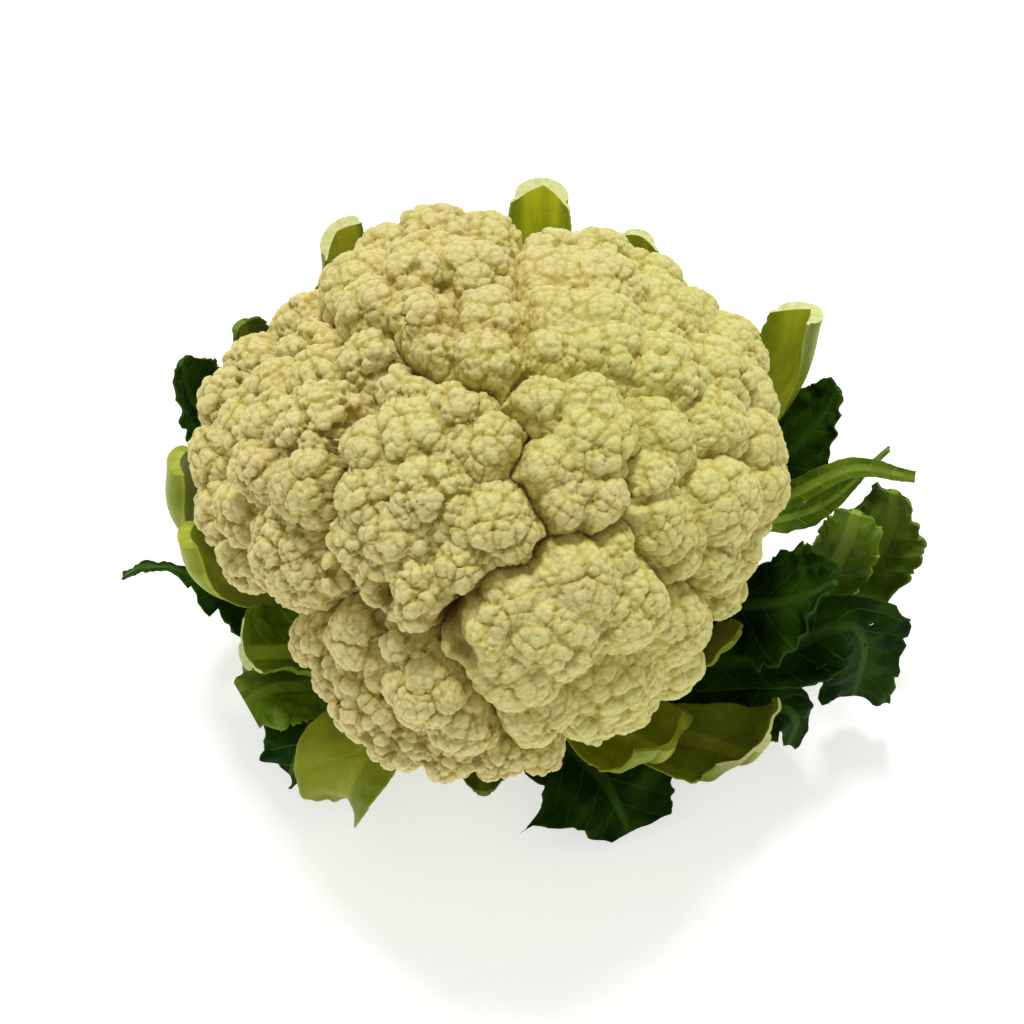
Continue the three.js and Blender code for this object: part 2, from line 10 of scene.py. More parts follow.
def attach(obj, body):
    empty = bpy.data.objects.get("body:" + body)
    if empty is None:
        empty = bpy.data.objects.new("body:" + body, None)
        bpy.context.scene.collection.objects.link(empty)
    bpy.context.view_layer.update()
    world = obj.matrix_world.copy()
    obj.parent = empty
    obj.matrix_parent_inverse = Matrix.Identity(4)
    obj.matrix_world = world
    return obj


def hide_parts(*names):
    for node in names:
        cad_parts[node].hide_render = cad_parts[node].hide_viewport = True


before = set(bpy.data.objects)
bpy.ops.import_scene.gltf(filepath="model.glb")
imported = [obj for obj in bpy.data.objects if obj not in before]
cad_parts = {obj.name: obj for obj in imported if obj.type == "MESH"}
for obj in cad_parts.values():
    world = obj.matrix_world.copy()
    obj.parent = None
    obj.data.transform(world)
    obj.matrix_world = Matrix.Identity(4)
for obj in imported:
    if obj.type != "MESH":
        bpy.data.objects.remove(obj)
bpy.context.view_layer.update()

MM = 0.001
rng = np.random.default_rng(17)

# Shapes are worked out in millimetres in the row frame, as the CAD source does.

# The dome that the florets fill, about its own centre on the stem's axis.
DOME_HEIGHT = 82
ACROSS, DEEP, RISE, DROP = 84, 85, 70, 52

# Florets are placed as they look from in front and above. Lines of sight are followed this far to both sides
# of the dome's middle.
LOOK_DOWN = math.radians(58)
EYE_DISTANCE = 800
SIGHT_REACH = 150.0
TOWARDS_EYE = np.array([0, -math.cos(LOOK_DOWN), math.sin(LOOK_DOWN)])
EYE_UP = np.array([0, math.sin(LOOK_DOWN), math.cos(LOOK_DOWN)])

# The dome's outline as looked at, as a share of an even one, at even angles from the right over the top.
SEEN_OUTLINE = np.array([
    0.98, 0.98, 0.99, 0.93, 0.94, 0.88, 0.9, 0.96, 0.98, 0.89, 0.93, 0.98,
    0.99, 0.9, 0.76, 0.87, 0.93, 1.0, 0.97, 0.93, 0.86, 0.86, 0.85, 0.88,
])

# The florets of the seen side: the middle in mm right of and above the middle of the dome as looked at, the
# size, how proud the middle stands, how far the rim sinks, how deep the groove round it is, and the lobes:
# middle, radius, own rise.
FLORETS = [
    # left
    dict(
        at=(-56, 12), size=38, proud=2, sunk=3, groove=7,
        lobes=[
            (-49, 41, 14), (-65, 32, 10.5), (-33, 34, 10.5), (-48, 29, 9.5, -1), (-61, 27, 8.5),
            (-71, 24, 11), (-47, 14, 14.5), (-62, 18, 8.5), (-73, 10, 11.5), (-64, 6, 8.5), (-50, 2, 10.5),
            (-72, -4, 11), (-51, -15, 16), (-65, -14, 12.5), (-41, -19, 9.5, -1),
        ],
    ),
    # middle
    dict(
        at=(-17, 0), size=31, proud=3, sunk=3, groove=7, relief=0.85,
        lobes=[
            (-21, 27, 10.5), (-10, 21, 10.5), (-21, 11, 14), (-34, 10, 9.5), (-1, 10, 10.5), (-18, -2, 13.5),
            (-35, -2, 10.5), (1, -11, 12.5, 1), (-26, -12, 11.5), (-37, -14, 9.5), (-20, -27, 12),
            (-7, -22, 9), (-30, -24, 8.5),
        ],
    ),
    # right of the middle
    dict(
        at=(22, 9), size=22, proud=2, sunk=2, groove=4, relief=0.65,
        lobes=[(26, 10, 16), (13, 22, 9.5), (26, 22, 9.5), (13, 4, 9.5), (18, -5, 8.5), (29, -4, 9.5)],
    ),
    # big one in front
    dict(
        at=(24, -43), size=34, proud=3, sunk=3, groove=6, relief=0.5,
        lobes=[
            (20, -25, 14), (34, -15, 8), (35, -31, 12), (46, -34, 13.5), (27, -49, 17, -1), (47, -46, 10.5),
            (22, -60, 12), (34, -56, 10.5), (10, -60, 10), (3, -31, 11), (-3, -42, 10), (6, -49, 11),
            (13, -38, 14, 1),
        ],
    ),
    # low in front
    dict(
        at=(-28, -62), size=29, proud=0, sunk=3, groove=8, relief=0.9,
        lobes=[
            (-46, -40, 10.5), (-36, -39, 10, -3), (-21, -42, 9.5, -4), (-40, -51, 9.5), (-30, -56, 15),
            (-18, -55, 10), (-25, -66, 11), (-8, -62, 10), (-13, -70, 9.5), (1, -71, 8.5), (13, -69, 8.5),
        ],
    ),
    # right
    dict(
        at=(58, -10), size=25, proud=1.5, sunk=1.5, groove=4, relief=0.6,
        lobes=[
            (59, -2, 13.5), (63, -14, 11.5), (57, -19, 10.5), (60, -26, 9), (42, -9, 9.5), (44, 14, 12),
            (42, 3, 8),
        ],
    ),
    # crown, left
    dict(
        at=(-20, 62), size=30, proud=1.5, sunk=2, groove=4, relief=0.85,
        lobes=[
            (-20, 46, 9), (-7, 57, 12), (-22, 58, 9), (-33, 49, 9.5), (-17, 66, 13), (-37, 54, 12),
            (-28, 64, 10.5), (-4, 66, 11.5),
        ],
    ),
    # crown, middle
    dict(
        at=(-5, 36), size=19, proud=2, sunk=2, groove=4, relief=0.8,
        lobes=[(-2, 43, 12), (-3, 32, 11), (-18, 36, 7)],
    ),
    # crown, right, where the lobes press closest
    dict(
        at=(42, 42), size=46, proud=0.8, sunk=1, groove=2, relief=0.6,
        lobes=[
            (29, 35, 13.5), (15, 34, 10.5), (15, 61, 12), (28, 62, 11), (13, 56, 11), (29, 53, 13),
            (40, 55, 12), (29, 43, 11.5), (15, 45, 10.5), (44, 45, 14), (52, 46, 10.5), (63, 37, 11.5),
            (45, 29, 13), (59, 29, 12.5), (67, 24, 10.5), (57, 15, 13), (67, 12, 12), (70, 1, 10.5),
            (68, -8, 9),
        ],
    ),
]

# The rest of the dome is filled by rule: florets and lobes spread evenly, wherever no other is near.
FILL_FLORETS = {"points": 26, "size": 24, "groove": 4, "apart": 34}
FILL_LOBES = {"points": 150, "radius": 12.5, "spread": 3, "lift": -1.5, "apart": 13, "lowest": -0.74}
GOLDEN_ANGLE = math.pi * (3 - math.sqrt(5))

# How deep the core lies under the dome, and how wide the grooves between florets are.
CORE_INSET = 14
GROOVE_WIDTH = 5.5

# Deep gaps between florets: mm right of and above the middle of the dome, radius, depth.
GAPS = [(-33, -31, 5, 9), (-14, -41, 4.5, 11), (-9, -49, 4.5, 10), (-24, 37, 3, 3)]

# Lobes are flatter than balls: each is this many times its radius, with its top where it was.
FLATTER = 1.22

# The ball that they are pushed out of: how often its edges are split, and which way it is finer. The curd's
# faces are then made this large, in mm, and smoothed over this many times.
BALL_FREQUENCY = 110
FINER_TOWARDS = np.array([0, -0.08, 0.18])
FACE_SIZE = 0.56
SMOOTHING = 24

# Florets fall away to grooves of 7 mm over this many mm, by this much. Painted shade in grooves is darkest
# where they are this deep.
SHOULDER = (13, 2.6)
GROOVE_SHADE_DEPTH = 8

# Buds on the lobes, largest first: how far apart, how that varies from lobe to lobe, how far their edges
# wander, how high a bud's cap stands, how deep its edge drops, how wide that edge is, the width of the line
# of painted shade round it and of the painted shade in its hollow, in mm, and how much they fade on florets
# of low relief.
BUD_LEVELS = [
    dict(
        apart=9.5, vary=0.35, wander=1.0, cap=3.6, edge=0.8, edge_width=0.9, line=0.45, hollow=1.8, fade=1.3,
    ),
    dict(
        apart=4.6, vary=0.35, wander=0.5, cap=2.0, edge=0.35, edge_width=0.6, line=0.3, hollow=1.0, fade=0.7,
    ),
    dict(
        apart=2.2, vary=0.25, wander=0.25, cap=1.0, edge=0.08, edge_width=0.45, line=0.22, hollow=0.5,
        fade=0.3,
    ),
]

# A bud's radius and its least distance from the next, of how far apart they are, how the height of buds
# varies, and how much of a cap stays below the surface.
BUD_RADIUS, BUD_DISTANCE = 0.78, 0.8
BUD_HEIGHTS = (0.55, 1.35)
CAP_SUNK = 0.8

# The curd's surface in mm2, and how often a place for a bud is tried for each that fits.
CURD_AREA = 110000
TRIES = 12

# Creases between lobes: depth, width, the width of their line of painted shade, how far they wander, in what
# waves.
LOBE_CREASE = (1.7, 3.4, 0.9)
LOBE_WANDER = (0.9, 9)

# Pieces that the curd is split into, along the grooves: the way that each one faces.
CURD_PIECES = {
    "curd_left": (-0.85, -0.1, 0.5),
    "curd_middle": (-0.05, -0.45, 0.9),
    "curd_front": (0.15, -0.98, 0.1),
    "curd_right": (0.9, 0.05, 0.5),
    "curd_crown": (-0.05, 0.75, 0.75),
    "curd_back": (0.1, 0.95, -0.2),
    "curd_under": (0, 0.1, -1),
}

# Leaves. The spine, of (radius, height), swings from the angle root inside the stem to the angle at, and is
# modelled from LEAF_START of it on. At even steps along it, left and right are the half widths, or wide where
# both are the same. rib and thick are the midrib's half width and thickness at base and tip, cup is how far
# the blade bends towards the head (degrees at its edge), and twist its turn at base and tip. Along the edges
# run a wave (mm, number) and a notch (share of the width, number), which are more or less uneven. groove is
# the depth of the channel towards the tip, cut a tip that shows its pale inside, and slant how far it slants.
# look gives the painted light or shade on the inner face, as a factor on its colour, how much of the
# blade beside the midrib is dark, and the painted light or shade on the outer face. holes are (share along,
# share across, mm).
LEAF_START = 0.12
BLADE_THICKNESS = 0.9
LEAF_CLEARANCE = 2.2
GROUND_CLEARANCE = 0.6
LEAF_ROWS = 64
RIB_COLUMNS = 7
BLADE_COLUMNS = 9

# Side veins: mm apart, and how far back they start for each mm across.
VEIN_SPACING = 8
VEIN_SLANT = 0.9

# Of pale leaves and of green ones: crumples and puffs between veins in mm, and how uneven the edges are.
CRUMPLE, PUFF, UNEVEN = (0.6, 1.3), (0.3, 1.1), (0.02, 0.07)

PALE, GREEN, DARK = "leaf_pale", "leaf_green", "leaf_dark"
INNER, MIDDLE, OUTER = 28, 19.5, 11
LEAVES = {
    "leaf_back_stub": dict(
        root=80, at=82, colour=PALE, spine=[(14, MIDDLE), (45, 23), (74, 42), (91, 69), (93, 96)],
        wide=[6, 10, 11, 11, 9.5], rib=[6, 7], thick=[6, 7], cup=50, groove=4, cut=True, look=(2.6, 0.5),
    ),
    "leaf_back_right_low": dict(
        root=60, at=63, colour=PALE, spine=[(14, INNER), (48, 33), (76, 56), (89, 76), (90, 92)],
        left=[6, 8, 11, 11, 7], right=[6, 8, 11, 10, 6], rib=[6, 4], thick=[5.5, 3], cup=40, wave=[0.8, 2],
        cut=True, look=(1.3, 0.5),
    ),
    "leaf_back_left_stub": dict(
        root=125, at=119, colour=PALE, spine=[(14, MIDDLE), (46, 24), (74, 44), (89, 68), (92, 92)],
        left=[6, 9, 9, 8, 6.5], right=[6, 9, 14, 16, 7], rib=[6, 6], thick=[6, 6], cup=35, wave=[0.8, 2],
        groove=2.5, slant=-4, cut=True, look=(1.4, 0.8),
    ),
    "leaf_left_dark": dict(
        root=155, at=159, colour=DARK, spine=[(14, INNER), (48, 34), (76, 55), (91, 78), (93, 96)],
        left=[6, 8, 12, 14, 3], right=[6, 8, 11, 11.5, 3], rib=[6, 1.5], thick=[5.5, 1.5], cup=20,
        wave=[1.2, 2.5], look=(1.3, 0),
    ),
    "leaf_left_pale": dict(
        root=165, at=172, colour=PALE, spine=[(14, OUTER), (48, 15), (78, 33), (89, 56), (88, 79)],
        left=[5, 8, 9, 10, 5], right=[5, 8, 10, 10.5, 5], rib=[5, 8], thick=[6, 4.5], cup=40,
        look=(1.5, 0, 1.4),
    ),
    "leaf_left_low": dict(
        root=178, at=186, colour=PALE, spine=[(14, MIDDLE), (46, 23), (71, 42), (82, 58), (84, 74)],
        wide=[6, 8, 9, 9, 4.5], rib=[6, 7], thick=[5.5, 4.5], cup=40, look=(1.5, 0, 1.4),
    ),
    "leaf_left_tendril": dict(
        root=193, at=182, colour=DARK,
        spine=[(14, OUTER), (46, 14), (67, 28), (81, 41), (92, 47), (101, 48), (107, 43)],
        left=[4, 4, 5, 4, 1.4, 1.6, 1.2], right=[4, 4.5, 12, 9, 1.4, 1.6, 1.2], rib=[4, 1], thick=[4, 1.2],
        cup=20, wave=[0.6, 3], look=(1.1, 0), uneven=0.4,
    ),
    "leaf_front_left_curl": dict(
        root=201, at=206, colour=GREEN, spine=[(14, INNER), (42, 31), (58, 38), (70, 47), (77, 51)],
        left=[5, 8, 13, 16, 10], right=[5, 8, 13, 15, 10], rib=[5, 4], thick=[5, 4], cup=60, wave=[2.4, 2.5],
        notch=[0.12, 3], cut=True, look=(1.7, 0),
    ),
    "leaf_front_left_lobe": dict(
        root=215, at=209, colour=GREEN, spine=[(14, MIDDLE), (42, 21), (60, 27), (73, 34), (81, 33)],
        left=[5, 7, 12, 16, 10], right=[5, 7, 11, 13, 9], rib=[5, 2], thick=[5, 1.8], cup=-60,
        wave=[0.8, 1.5], look=(1.35, 0),
    ),
    "leaf_front_left_folded": dict(
        root=222, at=219, colour=DARK, spine=[(14, OUTER), (40, 12), (58, 15), (71, 15), (77, 6)],
        left=[5, 8, 14, 15, 9], right=[5, 8, 9, 7, 5], rib=[5, 1.5], thick=[5, 1.5], cup=60, wave=[2, 3],
        notch=[0.12, 3], look=(1.4, 0),
    ),
    "leaf_front_curl": dict(
        root=236, at=234, colour=PALE, spine=[(14, INNER), (40, 28), (57, 29), (68, 26), (74, 16), (70, 6)],
        left=[6, 8, 14, 17, 13, 5], right=[6, 8, 12, 14, 11, 5], rib=[6, 3], thick=[5, 3], cup=85,
        wave=[1.2, 2], look=(1.25, 0),
    ),
    "leaf_front_low": dict(
        root=262, at=267, colour=GREEN, spine=[(14, MIDDLE), (38, 21), (54, 25), (66, 31)],
        wide=[6, 8, 11, 3], rib=[6, 2], thick=[5.5, 2], cup=20, wave=[0.8, 2], look=(0.8, 0),
    ),
    "leaf_front_dark": dict(
        root=292, at=300, colour=DARK, spine=[(14, OUTER), (38, 12), (53, 13), (66, 11), (76, 4)],
        left=[6, 10, 24, 26, 6], right=[6, 10, 20, 31, 12], rib=[6, 1.5], thick=[5, 1.5], cup=5,
        wave=[1.8, 3], notch=[0.34, 3], look=(0.8, 0),
    ),
    "leaf_front_right_curl": dict(
        root=300, at=309, colour=PALE, spine=[(14, INNER), (40, 29), (58, 28), (71, 34), (75, 46)],
        left=[5, 9, 15, 17, 10], right=[5, 9, 14, 15, 9], rib=[5, 3], thick=[5, 2.5], cup=40, wave=[1.4, 2],
        look=(1.1, 0),
    ),
    "leaf_front_right_lobe": dict(
        root=307, at=324, colour=PALE, spine=[(14, MIDDLE), (42, 20), (68, 20), (85, 23), (91, 37)],
        left=[5, 8, 14, 17, 14], right=[5, 7, 10, 15, 13], rib=[5, 3], thick=[5.5, 2.5], cup=45,
        wave=[1, 1.5], slant=4, cut=True, look=(0.95, 0),
    ),
    "leaf_right_low": dict(
        root=322, at=336, colour=DARK, spine=[(14, OUTER), (44, 10), (68, 13), (87, 24), (94, 20), (93, 4)],
        left=[5, 8, 12, 10, 6, 1.6], right=[5, 8, 10, 9, 6, 1.6], rib=[5, 1.2], thick=[5, 1.5], cup=8,
        wave=[1.6, 3], notch=[0.2, 3], twist=[0, 60], look=(0.8, 0),
    ),
    "leaf_right_ragged": dict(
        root=335, at=346, colour=DARK,
        spine=[(14, MIDDLE), (46, 20), (78, 32), (99, 51), (107, 42), (107, 12)], left=[5, 7, 11, 14, 15, 10],
        right=[5, 6, 9, 12, 14, 10], rib=[5, 1.2], thick=[5.5, 1.5], cup=8, wave=[1.8, 3], notch=[0.22, 4],
        twist=[0, 75], look=(0.8, 0),
        holes=[(0.8, -0.45, 1.3), (0.9, 0.5, 1.5), (0.72, 0.3, 0.9), (0.95, -0.2, 1)],
    ),
    "leaf_right_dark": dict(
        root=353, at=347, colour=DARK, spine=[(14, INNER), (46, 33), (72, 46), (88, 60), (95, 70)],
        left=[5, 9, 20, 22, 6], right=[5, 9, 16, 17, 5], rib=[5, 1.5], thick=[5, 1.5], cup=8, wave=[1.6, 2.5],
        notch=[0.2, 3], look=(0.8, 0),
    ),
    "leaf_right_rib": dict(
        root=3, at=360, colour=GREEN, spine=[(14, MIDDLE), (50, 19), (82, 24), (95, 39), (99, 55), (100, 70)],
        left=[5, 8, 9, 10, 10, 5.5], right=[3.5, 6, 9, 9, 9, 5.5], rib=[5, 2.5], thick=[5.5, 2], cup=-30,
        wave=[1, 2], twist=[0, 70], look=(1.9, 0),
    ),
    "leaf_right_lobe": dict(
        root=352, at=6, colour=GREEN,
        spine=[(14, OUTER), (52, 10), (90, 14), (110, 29), (114, 46), (113, 62)], left=[5, 7, 10, 12, 12, 6],
        right=[5, 7, 10, 11, 11, 6], rib=[5, 2], thick=[5, 1.8], cup=15, wave=[1.6, 2.5], twist=[0, 60],
        look=(1.2, 0),
    ),
    "leaf_right_strip": dict(
        root=21, at=7, colour=GREEN, spine=[(14, INNER), (48, 34), (76, 54), (98, 75), (119, 67)],
        wide=[4, 5, 4, 3, 1.6], rib=[4, 1], thick=[4.5, 1.4], cup=20, twist=[0, 35], look=(1.2, 0),
    ),
    "leaf_right_spear": dict(
        root=19, at=11, colour=GREEN,
        spine=[(14, MIDDLE), (44, 25), (70, 35), (89, 42), (101, 52), (112, 71)],
        left=[2, 2.8, 3.5, 5, 3, 1.2], right=[2, 2.8, 3, 4, 3, 1.2], rib=[3, 1], thick=[4, 1.4], cup=-20,
        wave=[1.2, 2.5], look=(1.2, 0),
    ),
    "leaf_right_shade": dict(
        root=30, at=24, colour=DARK, spine=[(14, OUTER), (50, 14), (82, 32), (100, 52), (107, 68)],
        left=[5, 6.5, 11, 15, 5], right=[5, 8, 12, 15, 5], rib=[5, 1.5], thick=[5, 1.5], cup=15,
        wave=[1.6, 2.5], notch=[0.2, 3],
    ),
    "leaf_right_stub": dict(
        root=38, at=30, colour=PALE, spine=[(14, MIDDLE), (48, 24), (79, 46), (94, 72), (97, 98)],
        left=[4, 7, 10, 9, 8.5], right=[6, 10, 14, 12, 8.5], rib=[6, 7], thick=[6, 7], cup=45, groove=4.5,
        slant=-6, cut=True, look=(2.0, 0.35, 1.3),
    ),
    "leaf_right_inner": dict(
        root=327, at=331, colour=PALE, spine=[(14, INNER), (42, 33), (60, 44), (71, 58), (75, 68)],
        left=[4, 5, 9, 10, 3], right=[4, 5, 8, 8, 3], rib=[4, 1.5], thick=[5, 1.5], cup=20, look=(0.8, 0),
    ),
    "leaf_back_right_stub": dict(
        root=65, at=52, colour=PALE, spine=[(14, OUTER), (48, 15), (78, 32), (90, 52), (93, 66)],
        wide=[5, 9, 10, 9, 8], rib=[5, 6], thick=[6, 6], cup=35, groove=2, cut=True, look=(1, 0.6),
    ),
    "leaf_back_middle_stub": dict(
        root=98, at=101, colour=PALE, spine=[(14, OUTER), (48, 15), (80, 34), (94, 56), (96, 72)],
        wide=[6, 9, 11, 10, 8], rib=[6, 6], thick=[6, 6], cup=35, groove=2, cut=True, look=(1, 0.6),
    ),
    "leaf_back_left_low": dict(
        root=133, at=140, colour=GREEN, spine=[(14, OUTER), (48, 15), (80, 34), (93, 56), (96, 74)],
        wide=[5, 9, 12, 13, 6], rib=[5, 3], thick=[6, 2.5], cup=30, wave=[1, 2],
    ),
}

# The stem's outline from its cut face up into the curd: radius, height.
STEM_OUTLINE = [(19.5, 0), (21.5, 2), (22, 12), (22.5, 24), (25, 33), (31, 38), (36, 43)]
STEM_SIDES, STEM_ROWS = 96, 36
STEM_RIDGES = 9


def unit(v):
    """Vectors along the last axis, at length 1."""
    return v / np.linalg.norm(v, axis=-1, keepdims=True)


def smooth(x, low, high):
    t = np.clip((x - low) / (high - low), 0, 1)
    return t * t * (3 - 2 * t)


def ripple(x, seed):
    """Smooth noise of about -1 to 1 along x, as a sum of waves."""
    draw = np.random.default_rng(seed)
    total = np.zeros_like(x)
    for k in range(4):
        total += np.sin(x * (0.7 + 0.9 * k + draw.random() * 0.5) + draw.random() * 6.3) / (1 + 0.5 * k)
    return total / 2


# The dome

def dome_level(p, inset=0.0):
    """How far points are out on the dome drawn in by inset: 1 on it, less inside. From the dome's centre."""
    x, y, z = p[..., 0], p[..., 1], p[..., 2]
    high = np.where(z < 0, DROP, RISE)
    even = np.sqrt((x / (ACROSS - inset)) ** 2 + (y / (DEEP - inset)) ** 2 + (z / (high - inset)) ** 2)
    up = y * math.sin(LOOK_DOWN) + z * math.cos(LOOK_DOWN)
    aside = (x * x + up * up) / (x * x + y * y + z * z)
    at = ((np.arctan2(up, x) / (2 * math.pi) + 1) % 1) * len(SEEN_OUTLINE)
    before = SEEN_OUTLINE[np.floor(at).astype(int) % len(SEEN_OUTLINE)]
    after = SEEN_OUTLINE[np.ceil(at).astype(int) % len(SEEN_OUTLINE)]
    return even / (1 + (before + (after - before) * (at % 1) - 1) * aside)


def seen_on_dome(right, up, inset):
    """Points where lines of sight meet the dome drawn in by inset, or pass nearest."""
    right, up, inset = (np.atleast_1d(np.asarray(a, float)) for a in (right, up, inset))
    right, up, inset = np.broadcast_arrays(right, up, inset)
    eye = TOWARDS_EYE * EYE_DISTANCE
    sight = unit(np.stack([right, up * EYE_UP[1], up * EYE_UP[2]], -1) - eye)
    point = lambda t: eye + sight * t[:, None]
    near = np.full(right.shape, EYE_DISTANCE - SIGHT_REACH)
    far = np.full(right.shape, EYE_DISTANCE + SIGHT_REACH)
    for _ in range(60):
        third = (far - near) / 3
        first = dome_level(point(near + third), inset) < dome_level(point(far - third), inset)
        far = np.where(first, far - third, far)
        near = np.where(first, near, near + third)
    outside = np.full(right.shape, EYE_DISTANCE - SIGHT_REACH)
    inside = near.copy()
    missed = dome_level(point(inside), inset) >= 1
    for _ in range(40):
        middle = (outside + inside) / 2
        out = dome_level(point(middle), inset) > 1
        outside = np.where(out, middle, outside)
        inside = np.where(out, inside, middle)
    return np.where(missed[:, None], point(near), point(inside))


def spread(points, inset):
    """Evenly spread points on the dome drawn in by inset(i)."""
    i = np.arange(points)
    z = 1 - (2 * i + 1) / points
    flat = np.sqrt(1 - z * z)
    way = np.stack([flat * np.cos(i * GOLDEN_ANGLE), flat * np.sin(i * GOLDEN_ANGLE), z], -1)
    return way / dome_level(way, inset(i))[:, None]


def florets():
    """(middles, sizes, grooves, reliefs) of all florets, the seen ones and then those that the rule adds."""
    at = np.array([f["at"] for f in FLORETS])
    middles = list(seen_on_dome(at[:, 0], at[:, 1], 0))
    sizes = [f["size"] for f in FLORETS]
    grooves = [f["groove"] for f in FLORETS]
    reliefs = [f.get("relief", 1) for f in FLORETS]
    for middle in spread(FILL_FLORETS["points"], lambda i: 0.0):
        if min(np.linalg.norm(middle - m) for m in middles) >= FILL_FLORETS["apart"]:
            middles.append(middle)
            sizes.append(FILL_FLORETS["size"])
            grooves.append(FILL_FLORETS["groove"])
            reliefs.append(1)
    return np.array(middles), np.array(sizes, float), np.array(grooves, float), np.array(reliefs, float)


def lobes(floret_middles, floret_sizes):
    """(middles, radii, floret that each is on) of all lobes, the seen ones and then those by rule."""
    rows = []
    for number, f in enumerate(FLORETS):
        for right, up, radius, *own in f["lobes"]:
            out = math.hypot(right - f["at"][0], up - f["at"][1]) / f["size"]
            inset = radius - (own[0] if own else 0) - f["proud"] + f["sunk"] * out * out
            rows.append((right, up, radius, inset, number))
    right, up, radius, inset, number = np.array(rows).T
    middles = list(seen_on_dome(right, up, inset))
    radii = list(radius)
    owners = list(number.astype(int))
    size = lambda i: FILL_LOBES["radius"] + FILL_LOBES["spread"] * np.sin(i * 7.3)
    added = spread(FILL_LOBES["points"], lambda i: size(i) - FILL_LOBES["lift"])
    for i, middle in enumerate(added):
        low = 1 - (2 * i + 1) / FILL_LOBES["points"] < FILL_LOBES["lowest"]
        if not low and min(np.linalg.norm(middle - m) for m in middles) > FILL_LOBES["apart"]:
            middles.append(middle)
            radii.append(size(i))
            owners.append(int(np.argmin(np.linalg.norm(floret_middles - middle, axis=1) - floret_sizes)))
    return np.array(middles), np.array(radii), np.array(owners)


def wander(points, reach, length, draw):
    """Points moved about smoothly, by up to about reach, in waves of about this length."""
    moved = points.copy()
    for _ in range(7):
        wave = unit(draw.normal(size=3)) * 2 * math.pi / (length * draw.uniform(0.7, 1.5))
        step = unit(draw.normal(size=3)) * (reach / 2)
        moved += step * np.sin(points @ wave + draw.uniform(0, 6.3))[:, None]
    return moved


# Meshes

def ball(frequency):
    """(points, triangles) of a ball of even triangles, by splitting each edge of an icosahedron."""
    g = (1 + 5 ** 0.5) / 2
    corner = unit(np.array([
        (-1, g, 0), (1, g, 0), (-1, -g, 0), (1, -g, 0), (0, -1, g), (0, 1, g),
        (0, -1, -g), (0, 1, -g), (g, 0, -1), (g, 0, 1), (-g, 0, -1), (-g, 0, 1),
    ], float))
    sides = [
        (0, 11, 5), (0, 5, 1), (0, 1, 7), (0, 7, 10), (0, 10, 11), (1, 5, 9), (5, 11, 4), (11, 10, 2),
        (10, 7, 6), (7, 1, 8), (3, 9, 4), (3, 4, 2), (3, 2, 6), (3, 6, 8), (3, 8, 9), (4, 9, 5),
        (2, 4, 11), (6, 2, 10), (8, 6, 7), (9, 8, 1),
    ]
    n = frequency
    i, j = (a.ravel() for a in np.meshgrid(np.arange(n + 1), np.arange(n + 1), indexing="ij"))
    keep = i + j <= n
    i, j = i[keep], j[keep]
    index = -np.ones((n + 2, n + 2), int)
    index[i, j] = np.arange(len(i))
    up = i + j < n
    down = i + j < n - 1
    (iu, ju), (id_, jd) = (i[up], j[up]), (i[down], j[down])
    faces = np.concatenate([
        np.stack([index[iu, ju], index[iu + 1, ju], index[iu, ju + 1]], -1),
        np.stack([index[id_ + 1, jd], index[id_ + 1, jd + 1], index[id_, jd + 1]], -1),
    ])
    points, triangles = [], []
    for k, (a, b, c) in enumerate(sides):
        share = np.stack([n - i - j, i, j], -1) / n
        points.append(unit(share @ corner[[a, b, c]]))
        triangles.append(faces + k * len(i))
    points, triangles = np.concatenate(points), np.concatenate(triangles)
    whole = np.round((points + 2) * 1e5).astype(np.int64)
    key = (whole[:, 0] * 400001 + whole[:, 1]) * 400001 + whole[:, 2]
    _, first, same = np.unique(key, return_index=True, return_inverse=True)
    return points[first], same.ravel()[triangles]


def point_normals(points, quads):
    a, b, c, d = (points[quads[:, k]] for k in range(4))
    face = np.cross(c - a, d - b)
    normal = np.zeros_like(points)
    for axis in range(3):
        for k in range(4):
            normal[:, axis] += np.bincount(quads[:, k], face[:, axis], len(points))
    return unit(normal)


def even_quads(points, triangles, size, rounds):
    """(points, quads) of the same surface in even quads, smoothed over."""
    rough = make_mesh("rough", points, triangles)
    remesh = rough.modifiers.new("even", "REMESH")
    remesh.mode = "VOXEL"
    remesh.voxel_size = size * MM
    soften = rough.modifiers.new("soften", "SMOOTH")
    soften.factor = 0.5
    soften.iterations = rounds
    mesh = rough.evaluated_get(bpy.context.evaluated_depsgraph_get()).data
    even = np.empty(len(mesh.vertices) * 3, np.float32)
    mesh.vertices.foreach_get("co", even)
    quads = np.empty(len(mesh.loops), np.int32)
    mesh.loops.foreach_get("vertex_index", quads)
    even = even.reshape(-1, 3).astype(float) / MM
    quads = quads.reshape(-1, 4)
    bpy.data.objects.remove(rough)
    return even, quads


def scatter(points, spacing, draw):
    """Points picked at random, none nearer to another than its spacing."""
    taken = {}
    picked = []
    tries = min(len(points), int(TRIES * CURD_AREA / spacing.mean() ** 2))
    chosen = draw.permutation(len(points))[:tries]
    cells = np.floor(points[chosen] / spacing.max()).astype(int).tolist()
    for p, (x, y, z), apart in zip(points[chosen].tolist(), cells, spacing[chosen].tolist()):
        near = (
            q
            for dx in (-1, 0, 1) for dy in (-1, 0, 1) for dz in (-1, 0, 1)
            for q in taken.get((x + dx, y + dy, z + dz), ())
        )
        if all((p[0] - q[0]) ** 2 + (p[1] - q[1]) ** 2 + (p[2] - q[2]) ** 2 > apart * apart for q in near):
            taken.setdefault((x, y, z), []).append(p)
            picked.append(p)
    return np.array(picked)


